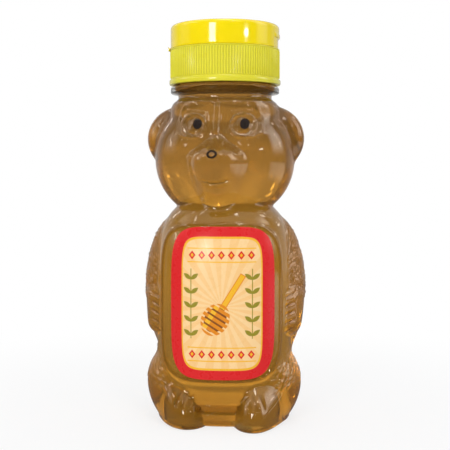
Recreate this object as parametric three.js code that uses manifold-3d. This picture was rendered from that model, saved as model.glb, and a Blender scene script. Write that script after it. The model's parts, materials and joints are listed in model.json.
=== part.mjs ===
// A honey squeeze bottle in the shape of a seated bear, with a flip-top screw cap.
// Millimetres, +Z up. The bear faces -Y, and the origin is where the neck's axis meets the flat base.
import * as THREE from "three";
import { mergeVertices } from "three/addons/utils/BufferGeometryUtils.js";
import Module from "manifold-3d";

const wasm = await Module();
wasm.setup();

// Clearances
const seat = 0.3; // between pieces that rest on or fill each other
const labelSeat = 0.15; // between a print or label and the bottle under it
const threadGap = 0.3; // between the flanks of the two threads
const crestGap = 0.35; // between the crest of the bottle's thread and the cap's wall
const capGap = 0.8; // between the cap's lower edge and the support ring

// The bear's main sizes
const bodyHeight = 79; // base to the crease between body and head
const headHeight = 40; // that crease to the start of the neck
const bodyHalfWidth = 25.2;
const bodyHalfDepth = 25.4;
const headHalfWidth = 26.1;
const headHalfDepth = 21.4;
const headTurn = THREE.MathUtils.degToRad(-4); // the face looks a little to the bear's right
const wall = 1; // thickness of the bottle's skin
const blend = 2.6; // width over which two rounded forms flow together
const baseRound = 2.5; // round of the edge under the base
const footStagger = 2; // the left foot, at +X, stands this far in front of the right one

// Neck finish
const neckRadius = 17.4;
const neckWall = 2.1;
const neckHeight = 15.7; // head to lip
const neckDraft = 0.6; // how fast the neck narrows inside the head
const ringReach = 2.8; // how far the support ring stands off the neck
const ringLift = 1.8; // head to the underside of the support ring
const ringHeight = 2.5;
const ringEdge = 0.5; // chamfer of the support ring
const lipEdge = 0.4; // chamfer of the lip
const mouthCut = 1; // how far a cut runs out past the open end it makes
const threadBead = 1.1; // radius of the round thread on the neck
const beadProud = 0.1; // how far the middle of a thread stands off its wall
const threadPitch = 4.233;
const threadTurns = 1.25;
const threadLift = 3.5; // support ring to the lower end of the thread

// Cap
const capTurn = THREE.MathUtils.degToRad(-5); // the thumb lip points along +X, a little to the front
const capWall = 1.1; // behind the ribs
const rimFlare = 0.35; // the plain band round the skirt's lower edge stands proud by this
const rimHeight = 1.9;
const ribCount = 126;
const ribDepth = 0.35;
const ribMargin = 0.9; // plain skirt left over the ribs
const deckThickness = 1.5;
const sealThickness = 0.5;
const sealMargin = 0.4; // the seal disc is smaller in radius than the lip by this
const capBead = 0.85; // radius of the round thread in the cap
const holeRadius = 4;
const spoutWall = 1.5;
const spoutHeight = 2.2;
const collarWall = 1.3;
const collarHeight = 1.6;
const collarGap = 0.6; // between the collar and the lid's wall

// Lid
const lidInset = 0.2; // the lid is this much smaller in radius than the cap
const lidHeight = 8.5;
const lidWall = 1.4;
const lidTop = 1.5;
const lidRound = 2.6;
const pinGap = 0.4; // round the pin in the spout
const pinTaper = 0.4;
const pinWall = 1.1;
const thumbWidth = 12;
const thumbDepth = 0.7;
const thumbHeight = 4.2;
const lipHeight = 2;
const lipReach = 0.35; // how far the thumb lip stands off the lid

// Hinge film
const hingeReach = 0.75; // middle of the fold, outside the cap's skirt
const hingeFold = 0.8; // radius of the fold's middle line
const hingeFilm = 0.4;
const hingeWidth = 9;

// Honey, label and prints
const fillDrop = 8; // lip down to the honey
const labelHalfWidth = 18.4;
const labelLift = 18.3; // base to the label's lower edge
const labelTopDrop = 6.5; // crease under the head down to the label's upper edge
const labelSquareness = 5; // exponent of the label's outline
const labelShift = 0.7; // the label sits this far to +X
const labelThickness = 0.25;
const eyeSide = 8.45; // half the distance between the two dots
const eyeShift = 1.25; // the pair is printed this far to +X of the face's middle
const eyeDrop = 10; // start of the neck down to the eyes
const eyeSize = [1.6, 1.9];
const noseDrop = 21;
const noseSize = [1.8, 1.45];
const noseBand = 0.55; // width of the printed ring

// Steps of the meshes
const aroundSteps = 44;
const skinStep = 3.3; // height of one row of the bottle's skin, its inside and the honey
const capSteps = 40;
const threadSteps = 32; // in one turn
const beadSteps = 6; // round a thread's section
const filletSteps = 3;
const lipSteps = 8;
const foldSteps = 10;
const labelSteps = 48;
const printSteps = 6; // in half an outline

// Levels
const neckStart = bodyHeight + headHeight;
const ringBottom = neckStart + ringLift;
const ringTop = ringBottom + ringHeight;
const lipLevel = neckStart + neckHeight;
const deckBottom = lipLevel + 2 * seat + sealThickness;
const deckTop = deckBottom + deckThickness;
const capBottom = ringTop + capGap;
const lidBottom = deckTop + seat;
const lidLevel = lidBottom + lidHeight;
const fillLevel = lipLevel - fillDrop;
const eyeLevel = neckStart - eyeDrop;

// Radii that follow from the neck
const boreRadius = neckRadius - neckWall;
const ringRadius = neckRadius + ringReach;
const threadRadius = neckRadius + beadProud;
const skirtInside = threadRadius + threadBead + crestGap;
const capRadius = skirtInside + capWall + ribDepth;
const lidRadius = capRadius - lidInset;

// Rounded forms on the bottle's axis: radii and the exponents of their plan and their height.
const cores = [
  // torso
  {
    top: bodyHeight + 3,
    bottom: -4,
    radii: [bodyHalfWidth, bodyHalfDepth],
    plan: 2.35,
    upright: 4,
  },
  // cheeks
  {
    top: bodyHeight + 42,
    bottom: bodyHeight - 5.5,
    radii: [headHalfWidth, headHalfDepth],
    plan: 2.1,
    upright: 2.1,
  },
  // skull
  {
    top: neckStart + 0.8,
    bottom: neckStart - 31.5,
    radii: [headHalfWidth - 5.6, headHalfDepth - 1.9],
    plan: 2.1,
    upright: 7.7,
  },
];

// Rounded forms off the axis, on one side or on both. Those of the head turn with it. The exponent blunt
// squares off the upper and lower ends of a form.
const bothSides = [-1, 1];
const footSide = bodyHalfWidth - 12;
const footFront = 12.9 - bodyHalfDepth;
const limbs = [
  // thigh
  { centre: [bodyHalfWidth - 11.3, -4.5, 13.2], radii: [14.8, 15, 16.3], sides: bothSides },
  // right foot and left foot
  { centre: [footSide, footFront, 3.2], radii: [7.8, 12.6, 13], sides: [-1] },
  { centre: [footSide, footFront - footStagger, 3.2], radii: [7.8, 12.6, 13], sides: [1] },
  // upper arm
  { centre: [bodyHalfWidth - 8.9, 1.5, bodyHeight - 30.5], radii: [13.6, 13.5, 28.5], sides: bothSides },
  // paw
  { centre: [bodyHalfWidth - 9.7, -3, bodyHeight - 38], radii: [13.4, 12.3, 11], sides: bothSides, blunt: 5 },
  // ear
  {
    centre: [headHalfWidth - 9.1, 0.5, neckStart - 14.7],
    radii: [12.6, 6.4, 12.1],
    sides: bothSides,
    head: true,
  },
  // muzzle
  { centre: [0, 8.9 - headHalfDepth, bodyHeight + 16], radii: [12.4, 18.6, 14], sides: [1], head: true },
];

const lobes = [];
for (const limb of limbs) {
  for (const side of limb.sides) {
    const [x, y, z] = limb.centre;
    lobes.push({ ...limb, centre: [side * x, y, z], turn: limb.head ? headTurn : 0 });
  }
}

// How far a form on the axis reaches outwards at an angle and a height, drawn in by inset.
function coreReach(core, angle, height, inset) {
  const middle = (core.top + core.bottom) / 2;
  const half = (core.top - core.bottom) / 2 - inset;
  const rise = Math.abs(height - middle) / half;
  if (rise >= 1) return 0;
  const across = Math.abs(Math.cos(angle) / (core.radii[0] - inset)) ** core.plan;
  const along = Math.abs(Math.sin(angle) / (core.radii[1] - inset)) ** core.plan;
  const plan = (across + along) ** (-1 / core.plan);
  return plan * (1 - rise ** core.upright) ** (1 / core.upright);
}

// The same for a rounded form off the axis: the far crossing of a level line from the axis.
function lobeReach(lobe, angle, height, inset) {
  const [rx, ry, rz] = lobe.radii.map((radius) => radius - inset);
  const [cx, cy, cz] = lobe.centre;
  const spread = 1 - Math.abs((height - cz) / rz) ** (lobe.blunt ?? 2);
  if (spread <= 0) return 0;
  const dx = Math.cos(angle - lobe.turn);
  const dy = Math.sin(angle - lobe.turn);
  const a = (dx / rx) ** 2 + (dy / ry) ** 2;
  const b = (dx * cx) / rx ** 2 + (dy * cy) / ry ** 2;
  const c = (cx / rx) ** 2 + (cy / ry) ** 2 - spread;
  const root = b * b - a * c;
  return root <= 0 ? 0 : Math.max(0, (b + Math.sqrt(root)) / a);
}

function smoothMax(a, b) {
  const overlap = Math.max(blend - Math.abs(a - b), 0);
  return Math.max(a, b) + overlap ** 2 / (4 * blend);
}

// The bear's radius at an angle and a height, drawn in by inset, with the base's edge rounded.
function bearRadius(angle, height, inset) {
  const level = Math.max(height, baseRound);
  let radius = neckRadius - inset - neckDraft * (neckStart - level);
  for (const core of cores) radius = smoothMax(radius, coreReach(core, angle, level, inset));
  for (const lobe of lobes) radius = smoothMax(radius, lobeReach(lobe, angle, level, inset));
  if (height >= baseRound) return radius;
  const round = baseRound - inset;
  const drop = Math.min(baseRound - height, round);
  return radius - round + Math.sqrt(round ** 2 - drop ** 2);
}

// A solid turned about Z. A profile point is [radius, height], and a radius of null follows the bear.
function turnedSolid(profile, steps, inset = 0) {
  const points = profile.map(([radius, height]) => new THREE.Vector2(radius ?? 1, height));
  const geometry = new THREE.LatheGeometry(points, steps).rotateX(Math.PI / 2);
  const position = geometry.attributes.position;
  for (let i = 0; i < position.count; i++) {
    const [radius, height] = profile[i % profile.length];
    if (radius !== null) continue;
    const angle = Math.atan2(position.getY(i), position.getX(i));
    const reach = bearRadius(angle, height, inset);
    position.setXYZ(i, reach * Math.cos(angle), reach * Math.sin(angle), height);
  }
  return solidOf(geometry);
}

function solidOf(geometry) {
  const bare = geometry.clone();
  bare.deleteAttribute("normal");
  bare.deleteAttribute("uv");
  const merged = mergeVertices(bare, 1e-4);
  const corners = merged.index.array;
  const triangles = [];
  for (let i = 0; i < corners.length; i += 3) {
    const [a, b, c] = [corners[i], corners[i + 1], corners[i + 2]];
    if (a !== b && b !== c && c !== a) triangles.push(a, b, c);
  }
  return new wasm.Manifold(
    new wasm.Mesh({
      numProp: 3,
      vertProperties: Float32Array.from(merged.attributes.position.array),
      triVerts: Uint32Array.from(triangles),
    }),
  );
}

function geometryOf(solid) {
  const mesh = solid.getMesh();
  const geometry = new THREE.BufferGeometry();
  geometry.setAttribute("position", new THREE.BufferAttribute(Float32Array.from(mesh.vertProperties), 3));
  geometry.setIndex(Array.from(mesh.triVerts));
  const facets = geometry.toNonIndexed();
  facets.computeVertexNormals();
  return facets;
}

// Heights of the rows of a skin between two levels.
function rows(from, to) {
  const count = Math.round((to - from) / skinStep);
  return Array.from({ length: count + 1 }, (_, i) => from + ((to - from) * i) / count);
}

// The rounded lower edge of a skin drawn in by inset, as heights below the plain skin.
function edgeRows(inset) {
  const round = baseRound - inset;
  return Array.from({ length: filletSteps }, (_, i) => {
    const angle = (Math.PI / 2) * (i / filletSteps);
    return baseRound - round * Math.cos(angle);
  });
}

// The bear as one filled solid, drawn in by inset, up to a level on its neck.
function bearSolid(inset, neck) {
  const head = rows(bodyHeight, neckStart).slice(1);
  const skin = [...edgeRows(inset), ...rows(baseRound, bodyHeight), ...head];
  const profile = [[0, inset], ...skin.map((height) => [null, height]), ...neck];
  return turnedSolid(profile, aroundSteps, inset);
}

// A round bead wound up a helix, running up and counter-clockwise.
class Helix extends THREE.Curve {
  constructor(radius, start, turns) {
    super();
    Object.assign(this, { radius, start, turns });
  }

  getPoint(t, target = new THREE.Vector3()) {
    const angle = 2 * Math.PI * this.turns * t;
    return target.set(
      this.radius * Math.cos(angle),
      this.radius * Math.sin(angle),
      this.start + threadPitch * this.turns * t,
    );
  }
}

function threadSolid(radius, start, bead) {
  const circle = new THREE.EllipseCurve(0, 0, bead, bead).getPoints(beadSteps);
  const section = new THREE.Shape(circle.slice(0, beadSteps));
  const geometry = new THREE.ExtrudeGeometry(section, {
    steps: Math.round(threadSteps * threadTurns),
    extrudePath: new Helix(radius, start, threadTurns),
    bevelEnabled: false,
  });
  return solidOf(geometry);
}

// Prism of a flat outline, given in X and Z, that reaches forwards from the axis.
function frontPrism(shape, reach) {
  const geometry = new THREE.ExtrudeGeometry(shape, {
    depth: reach,
    bevelEnabled: false,
    curveSegments: printSteps,
  });
  return geometry.rotateX(Math.PI / 2);
}

// Bottle: skin, neck, support ring and thread, hollow from the mouth to the floor.
const threadStart = ringTop + threadLift;
const neckProfile = [
  [neckRadius, ringBottom - ringEdge],
  [ringRadius, ringBottom + ringEdge],
  [ringRadius, ringTop - ringEdge],
  [ringRadius - ringEdge, ringTop],
  [neckRadius, ringTop],
  [neckRadius, lipLevel - lipEdge],
  [neckRadius - lipEdge, lipLevel],
  [0, lipLevel],
];
const hollow = bearSolid(wall, [
  [boreRadius, ringBottom],
  [boreRadius, lipLevel + mouthCut],
  [0, lipLevel + mouthCut],
]);
const bottle = bearSolid(0, neckProfile)
  .add(threadSolid(threadRadius, threadStart, threadBead))
  .subtract(hollow);

// Honey: fills the hollow up to its level in the neck.
const honeyInset = wall + seat;
const honey = bearSolid(honeyInset, [
  [boreRadius - seat, ringBottom],
  [boreRadius - seat, fillLevel],
  [0, fillLevel],
]);

// Seal disc on the lip.
const sealBottom = lipLevel + seat;
const sealRadius = neckRadius - sealMargin;
const seal = turnedSolid(
  [
    [0, sealBottom],
    [sealRadius, sealBottom],
    [sealRadius, sealBottom + sealThickness],
    [0, sealBottom + sealThickness],
  ],
  capSteps,
);

// Label: a slice of a shell just off the skin, within its outline.
function shellOver(gap, thickness) {
  const close = [[0, neckStart]];
  return bearSolid(-gap - thickness, close).subtract(bearSolid(-gap, close));
}

const labelTop = bodyHeight - labelTopDrop;
const labelMiddle = (labelTop + labelLift) / 2;
const labelHalfHeight = (labelTop - labelLift) / 2;
const labelOutline = new THREE.Shape(
  Array.from({ length: labelSteps }, (_, i) => {
    const angle = (2 * Math.PI * i) / labelSteps;
    const bow = (value) => Math.sign(value) * Math.abs(value) ** (2 / labelSquareness);
    return new THREE.Vector2(
      labelShift + labelHalfWidth * bow(Math.cos(angle)),
      labelMiddle + labelHalfHeight * bow(Math.sin(angle)),
    );
  }),
);
const frontReach = bodyHalfDepth + headHalfDepth;
const shell = shellOver(labelSeat, labelThickness);
const label = shell.intersect(solidOf(frontPrism(labelOutline, frontReach)));

// Ink on the face, cut from the same shell.
function printSolid(side, height, size, band = 0) {
  const shape = new THREE.Shape().absellipse(side, height, ...size, 0, 2 * Math.PI);
  const [width, tall] = size.map((radius) => radius - band);
  if (band) shape.holes.push(new THREE.Path().absellipse(side, height, width, tall, 0, 2 * Math.PI));
  const prism = frontPrism(shape, frontReach).rotateZ(headTurn);
  return shell.intersect(solidOf(prism));
}

// Cap base: ribbed skirt, plain rim, deck with spout and collar, and the thread inside.
function ribbedOutline() {
  const ribs = Array.from({ length: 2 * ribCount }, (_, i) => {
    const angle = (Math.PI * i) / ribCount;
    const radius = i % 2 ? capRadius - ribDepth : capRadius;
    return new THREE.Vector2(radius * Math.cos(angle), radius * Math.sin(angle));
  });
  return new THREE.Shape(ribs);
}

const spoutRadius = holeRadius + spoutWall;
const collarRadius = lidRadius - lidWall - collarGap;
const capCore = turnedSolid(
  [
    [0, capBottom],
    [capRadius + rimFlare, capBottom],
    [capRadius + rimFlare, capBottom + rimHeight],
    [capRadius - ribDepth, capBottom + rimHeight],
    [capRadius - ribDepth, deckTop - ribMargin],
    [capRadius, deckTop - ribMargin],
    [capRadius, deckTop],
    [collarRadius, deckTop],
    [collarRadius, deckTop + collarHeight],
    [collarRadius - collarWall, deckTop + collarHeight],
    [collarRadius - collarWall, deckTop],
    [spoutRadius, deckTop],
    [spoutRadius, deckTop + spoutHeight],
    [0, deckTop + spoutHeight],
  ],
  capSteps,
);
const ribs = solidOf(
  new THREE.ExtrudeGeometry(ribbedOutline(), {
    depth: deckTop - ribMargin - capBottom - rimHeight,
    bevelEnabled: false,
  }).translate(0, 0, capBottom + rimHeight),
);
const capHollow = turnedSolid(
  [
    [0, capBottom - mouthCut],
    [skirtInside, capBottom - mouthCut],
    [skirtInside, deckBottom],
    [holeRadius, deckBottom],
    [holeRadius, deckTop + spoutHeight + mouthCut],
    [0, deckTop + spoutHeight + mouthCut],
  ],
  capSteps,
);
// The cap's thread lies under the bottle's, with the named gap between their flanks.
const capThreadRadius = skirtInside - beadProud;
const flankReach = threadBead + capBead + threadGap;
const threadDrop = Math.sqrt(flankReach ** 2 - (capThreadRadius - threadRadius) ** 2);
const capBase = capCore
  .add(ribs)
  .subtract(capHollow)
  .add(threadSolid(capThreadRadius, threadStart - threadDrop, capBead));

// Lid: a shallow hollow cap with a tapered tubular pin that plugs the spout.
const pinRadius = holeRadius - pinGap;
const pinBottom = deckTop;
const lidShell = turnedSolid(
  [
    [0, pinBottom],
    [pinRadius - pinTaper, pinBottom],
    [pinRadius, pinBottom + pinTaper],
    [pinRadius, lidLevel - lidTop],
    [lidRadius - lidWall, lidLevel - lidTop],
    [lidRadius - lidWall, lidBottom],
    [lidRadius, lidBottom],
    ...Array.from({ length: filletSteps + 1 }, (_, i) => {
      const angle = (Math.PI / 2) * (i / filletSteps);
      return [lidRadius - lidRound * (1 - Math.cos(angle)), lidLevel - lidRound * (1 - Math.sin(angle))];
    }),
    [0, lidLevel],
  ],
  capSteps,
);
const pinBore = turnedSolid(
  [
    [0, pinBottom - mouthCut],
    [pinRadius - pinWall, pinBottom - mouthCut],
    [pinRadius - pinWall, lidLevel - lidTop],
    [0, lidLevel - lidTop],
  ],
  capSteps,
);
// Thumb recess and the lip over it, both on the lid's +X side.
const recess = solidOf(
  new THREE.BoxGeometry(2 * thumbDepth, thumbWidth, thumbHeight).translate(
    lidRadius,
    0,
    lidBottom + thumbHeight / 2 - seat,
  ),
);
const lipAngle = Math.asin(thumbWidth / 2 / lidRadius);
const lipShape = new THREE.Shape()
  .absarc(0, 0, lidRadius + lipReach, -lipAngle, lipAngle)
  .absarc(0, 0, lidRadius - lidWall / 2, lipAngle, -lipAngle, true);
const lip = solidOf(
  new THREE.ExtrudeGeometry(lipShape, {
    depth: lipHeight,
    bevelEnabled: false,
    curveSegments: lipSteps,
  }).translate(0, 0, lidBottom + thumbHeight - seat),
);
const flipLid = lidShell.subtract(pinBore).subtract(recess).add(lip);

// Hinge film: half a fold that bulges out behind the cap, from the base's edge to the lid's.
const hingeAxis = capRadius + hingeReach;
const hingeLevel = deckTop + seat / 2;
const foldOuter = hingeFold + hingeFilm / 2;
const foldInner = hingeFold - hingeFilm / 2;
const foldLeg = hingeReach - seat;
const foldShape = new THREE.Shape()
  .moveTo(foldLeg, foldOuter)
  .absarc(0, 0, foldOuter, Math.PI / 2, (3 * Math.PI) / 2)
  .lineTo(foldLeg, -foldOuter)
  .lineTo(foldLeg, -foldInner)
  .absarc(0, 0, foldInner, (3 * Math.PI) / 2, Math.PI / 2, true)
  .lineTo(foldLeg, foldInner);
const hingeGeometry = new THREE.ExtrudeGeometry(foldShape, {
  depth: hingeWidth,
  bevelEnabled: false,
  curveSegments: foldSteps,
})
  .rotateX(Math.PI / 2)
  .translate(-hingeAxis, hingeWidth / 2, hingeLevel);

function piece(name, geometry, material) {
  const mesh = new THREE.Mesh(geometry, material);
  mesh.name = name;
  return mesh;
}

const clearPet = new THREE.MeshStandardMaterial({
  color: 0xd9c9a8,
  roughness: 0.08,
  metalness: 0,
  transparent: true,
  opacity: 0.35,
});
const amber = new THREE.MeshStandardMaterial({ color: 0xa8701f, roughness: 0.15, metalness: 0 });
const liner = new THREE.MeshStandardMaterial({ color: 0xe9e6dd, roughness: 0.6, metalness: 0 });
const yellow = new THREE.MeshStandardMaterial({ color: 0xe8d21c, roughness: 0.35, metalness: 0 });
const lidYellow = new THREE.MeshStandardMaterial({ color: 0xf2d80a, roughness: 0.25, metalness: 0 });
const labelPaper = new THREE.MeshStandardMaterial({ color: 0xd92a2c, roughness: 0.4, metalness: 0 });
const ink = new THREE.MeshStandardMaterial({ color: 0x1d1712, roughness: 0.4, metalness: 0 });

const cap = new THREE.Group();
cap.rotation.z = capTurn;
cap.add(
  piece("cap_base", geometryOf(capBase), yellow),
  piece("flip_lid", geometryOf(flipLid), lidYellow),
  piece("living_hinge", hingeGeometry, lidYellow),
);

const honeyBottle = new THREE.Group();
honeyBottle.add(
  piece("bottle", geometryOf(bottle), clearPet),
  piece("honey", geometryOf(honey), amber),
  piece("seal_disc", geometryOf(seal), liner),
  piece("front_label", geometryOf(label), labelPaper),
  piece("left_eye_print", geometryOf(printSolid(eyeShift - eyeSide, eyeLevel, eyeSize)), ink),
  piece("right_eye_print", geometryOf(printSolid(eyeShift + eyeSide, eyeLevel, eyeSize)), ink),
  piece("nose_print", geometryOf(printSolid(0, neckStart - noseDrop, noseSize, noseBand)), ink),
  cap,
);

export default honeyBottle;
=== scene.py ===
import json
import math

import bpy
import numpy as np
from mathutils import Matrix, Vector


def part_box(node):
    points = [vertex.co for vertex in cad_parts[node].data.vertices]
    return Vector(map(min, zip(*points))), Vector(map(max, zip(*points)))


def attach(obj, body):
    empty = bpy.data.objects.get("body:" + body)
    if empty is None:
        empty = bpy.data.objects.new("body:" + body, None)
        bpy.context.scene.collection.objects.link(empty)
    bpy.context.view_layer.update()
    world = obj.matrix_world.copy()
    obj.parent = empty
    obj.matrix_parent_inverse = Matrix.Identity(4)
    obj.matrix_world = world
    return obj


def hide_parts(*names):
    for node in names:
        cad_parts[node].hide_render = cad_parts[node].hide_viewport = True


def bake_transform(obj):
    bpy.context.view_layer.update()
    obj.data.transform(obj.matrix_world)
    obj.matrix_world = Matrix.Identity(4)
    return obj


# A clear bear-shaped squeeze bottle of honey with a yellow flip-top cap.
# Sizes are in millimetres and become metres where a mesh is written.
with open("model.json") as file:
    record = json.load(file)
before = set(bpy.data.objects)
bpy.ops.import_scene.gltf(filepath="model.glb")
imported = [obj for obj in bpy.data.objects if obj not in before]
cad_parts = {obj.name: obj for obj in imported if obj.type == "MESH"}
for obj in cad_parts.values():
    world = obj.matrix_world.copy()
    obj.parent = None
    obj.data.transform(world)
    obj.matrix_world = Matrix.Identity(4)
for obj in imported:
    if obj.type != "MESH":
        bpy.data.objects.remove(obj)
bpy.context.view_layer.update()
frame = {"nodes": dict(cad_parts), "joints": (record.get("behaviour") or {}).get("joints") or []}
mm = 0.001
touch = 0.02  # a point this near to a surface counts as on it
both = (-1, 1)  # left and right
joints = {joint["name"]: joint for joint in frame["joints"]}
print("frame loaded:", sorted(frame["nodes"]))


# Small tools for working on meshes
def clearSelection():
    if bpy.context.mode != "OBJECT":
        bpy.ops.object.mode_set(mode="OBJECT")
    bpy.ops.object.select_all(action="DESELECT")


def makeActive(obj):
    clearSelection()
    obj.select_set(True)
    bpy.context.view_layer.objects.active = obj


def newPiece(name):
    # the primitive that was just added, with its place moved into its mesh
    obj = bpy.context.object
    obj.name = name
    obj.data.name = name
    bpy.ops.object.transform_apply(location=True, rotation=True, scale=True)
    return obj


def meshPoints(obj):
    points = np.empty(len(obj.data.vertices) * 3)
    obj.data.vertices.foreach_get("co", points)
    return points.reshape(-1, 3) / mm


def setPoints(obj, points):
    obj.data.vertices.foreach_set("co", (points * mm).ravel())
    obj.data.update()


def faceData(obj):
    # the middle of each face and the way that it faces
    count = len(obj.data.polygons)
    middle, normal = np.empty(count * 3), np.empty(count * 3)
    obj.data.polygons.foreach_get("center", middle)
    obj.data.polygons.foreach_get("normal", normal)
    return middle.reshape(-1, 3) / mm, normal.reshape(-1, 3)


def fromAxis(points):
    return np.hypot(points[:, 0], points[:, 1])


def finishByFace(obj, index, count):
    # the number of each face's finish, and empty slots for the finishes
    for _ in range(count):
        obj.data.materials.append(None)
    obj.data.polygons.foreach_set("material_index", index.astype(np.int32))


def pointValues(obj, name, values):
    # one value for each point, which a material reads
    layer = obj.data.attributes.new(name, "FLOAT", "POINT")
    layer.data.foreach_set("value", values.astype(np.float32))


def pulledRing(name, profile, count):
    # a circle that is extruded, moved and scaled along a profile of [radius, height]
    clearSelection()
    radius, height = profile[0]
    bpy.ops.mesh.primitive_circle_add(vertices=count, radius=radius * mm, location=(0, 0, height * mm))
    obj = newPiece(name)
    bpy.ops.object.mode_set(mode="EDIT")
    bpy.ops.mesh.select_mode(type="EDGE")
    bpy.ops.mesh.select_all(action="SELECT")
    for (radius, height), (nextRadius, nextHeight) in zip(profile, profile[1:]):
        rise = (0, 0, (nextHeight - height) * mm)
        bpy.ops.mesh.extrude_edges_move(TRANSFORM_OT_translate={"value": rise})
        grow = nextRadius / radius
        bpy.ops.transform.resize(value=(grow, grow, 1), center_override=(0, 0, nextHeight * mm))
    bpy.ops.object.mode_set(mode="OBJECT")
    return obj


def closeEnds(obj, bridge):
    # join the first ring to the last, or fill each with a fan
    makeActive(obj)
    bpy.ops.object.mode_set(mode="EDIT")
    bpy.ops.mesh.select_mode(type="EDGE")
    bpy.ops.mesh.select_all(action="DESELECT")
    bpy.ops.mesh.select_non_manifold()
    if bridge:
        bpy.ops.mesh.bridge_edge_loops()
    else:
        bpy.ops.mesh.edge_face_add()
        bpy.ops.mesh.select_mode(type="FACE")
        bpy.ops.mesh.poke()
    bpy.ops.object.mode_set(mode="OBJECT")


def thicken(obj, thickness, even=False):
    # give a sheet its thickness, outwards
    makeActive(obj)
    thick = obj.modifiers.new("thickness", "SOLIDIFY")
    thick.thickness = thickness * mm
    thick.offset = 1
    thick.use_even_offset = even
    bpy.ops.object.modifier_apply(modifier="thickness")


def settle(obj, angle):
    # merge doubles, turn the faces out and shade
    makeActive(obj)
    bpy.ops.object.mode_set(mode="EDIT")
    bpy.ops.mesh.select_all(action="SELECT")
    bpy.ops.mesh.remove_doubles(threshold=0.0005 * mm)
    bpy.ops.mesh.normals_make_consistent(inside=False)
    bpy.ops.object.mode_set(mode="OBJECT")
    bpy.ops.object.shade_smooth_by_angle(angle=math.radians(angle))


def smoothStep(low, high, value):
    share = np.clip((value - low) / (high - low), 0, 1)
    return share * share * (3 - 2 * share)


def within(value, start, full, fade, end):
    # rises softly to 1, stays there and falls back to 0
    return smoothStep(start, full, value) * (1 - smoothStep(fade, end, value))


def ridge(distance, width):
    return np.exp(-((distance / width) ** 2))


def strokeGap(x, z, start, end):
    # distance from points to a short straight stroke
    ax, az = start
    bx, bz = end
    along = ((x - ax) * (bx - ax) + (z - az) * (bz - az)) / ((bx - ax) ** 2 + (bz - az) ** 2)
    along = np.clip(along, 0, 1)
    return np.hypot(x - ax - along * (bx - ax), z - az - along * (bz - az))


# The bear's form: rounded masses, then the moulded relief
bear = {
    "bodyHeight": 79.0,  # base to the crease under the head
    "headHeight": 40.0,
    "headTurn": math.radians(-4),
    "neckRadius": 17.4,
    "neckDraft": 0.6,
    "baseRound": 2.5,
    "wall": 1.0,
}
headTop = bear["bodyHeight"] + bear["headHeight"]
masses = [
    # torso, cheeks and skull stand on the axis: radii and exponents of plan and height
    {"top": 82, "bottom": -4, "radii": (25.2, 25.4), "plan": 2.35, "upright": 4, "blend": 2.2},
    {"top": 121, "bottom": 73.5, "radii": (26.1, 21.4), "plan": 2.1, "upright": 2.1, "blend": 1.8},
    {"top": 119.2, "bottom": 87.5, "radii": (20.5, 19.5), "plan": 2.1, "upright": 7.7, "blend": 1.2},
]
# limbs by group: the members of a group flow into one another, then the group into the rest
limbs = [
    {"blend": 1.3, "inner": 7.0, "members": [
        {"centre": (13.9, -4.5, 14.2), "radii": (14.8, 15, 15.8), "sides": both},  # thighs
        {"centre": (14.6, -9, 7), "radii": (8, 12.5, 12), "sides": both},  # shins
        {"centre": (12.4, -14, 3.2), "radii": (7.2, 12.6, 13), "sides": (-1,)},  # feet
        {"centre": (12.4, -17, 3.2), "radii": (7.2, 12.6, 13), "sides": (1,)},
    ]},
    {"blend": 1.2, "inner": 2.0, "members": [
        {"centre": (16.3, 1.5, 48.5), "radii": (13.6, 13.5, 28.5), "sides": both},  # arms
        {"centre": (15.5, -3, 41), "radii": (13.4, 12.3, 11), "sides": both, "blunt": 5},  # paws
    ]},
    {"blend": 1.4, "inner": 1.0, "members": [
        {"centre": (17, 0.5, 104.3), "radii": (12.6, 6.4, 12.1), "sides": both, "head": True},  # ears
    ]},
]
# the muzzle's half width and its reach before the axis, by height
muzzle = {
    "heights": [74, 79.8, 85.3, 92, 95, 96.8, 98, 99.2, 100.5, 101.9, 103.5, 105.5],
    "halves": [5.5, 6.4, 8.2, 10.6, 11.2, 11.0, 10.4, 9.2, 7.4, 5.3, 3.4, 2.0],
    "reaches": [12, 19, 24.6, 28.6, 29.2, 29.1, 28.7, 27.8, 26.4, 24.4, 21.6, 17.5],
    "roundness": 2.0,
    "depth": 3.0,  # how far its sides run in under the head's skin
    "blend": 4.4,
}
forehead = {
    "slope": 0.13,  # how far it leans back for each millimetre up
    "from": 105.5,
    "height": 11.5,
    "end": (112, 119),  # heights over which the lean ends at the neck
    "front": (0.1, 0.8),  # share of the way straight forward over which it begins
}


def massReach(mass, angle, height, inset):
    middle = (mass["top"] + mass["bottom"]) / 2
    half = (mass["top"] - mass["bottom"]) / 2 - inset
    rise = np.minimum(np.abs(height - middle) / half, 1)
    across = np.abs(np.cos(angle) / (mass["radii"][0] - inset)) ** mass["plan"]
    along = np.abs(np.sin(angle) / (mass["radii"][1] - inset)) ** mass["plan"]
    plan = (across + along) ** (-1 / mass["plan"])
    return plan * (1 - rise ** mass["upright"]) ** (1 / mass["upright"])


def limbReach(limb, side, angle, height, inset):
    rx, ry, rz = (radius - inset for radius in limb["radii"])
    cx, cy, cz = limb["centre"]
    turned = angle - (bear["headTurn"] if "head" in limb else 0)
    spread = 1 - np.abs((height - cz) / rz) ** limb.get("blunt", 2)
    dx, dy = np.cos(turned), np.sin(turned)
    a = (dx / rx) ** 2 + (dy / ry) ** 2
    b = dx * side * cx / rx**2 + dy * cy / ry**2
    root = b * b - a * ((cx / rx) ** 2 + (cy / ry) ** 2 - spread)
    reach = (b + np.sqrt(np.maximum(root, 0))) / a
    return np.where((root > 0) & (spread > 0), np.maximum(reach, 0), 0)


def flow(a, b, blend):
    # the larger of two reaches, with a soft change from one to the other
    overlap = np.maximum(blend - np.abs(a - b), 0)
    return np.maximum(a, b) + overlap**2 / (4 * blend)


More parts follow.
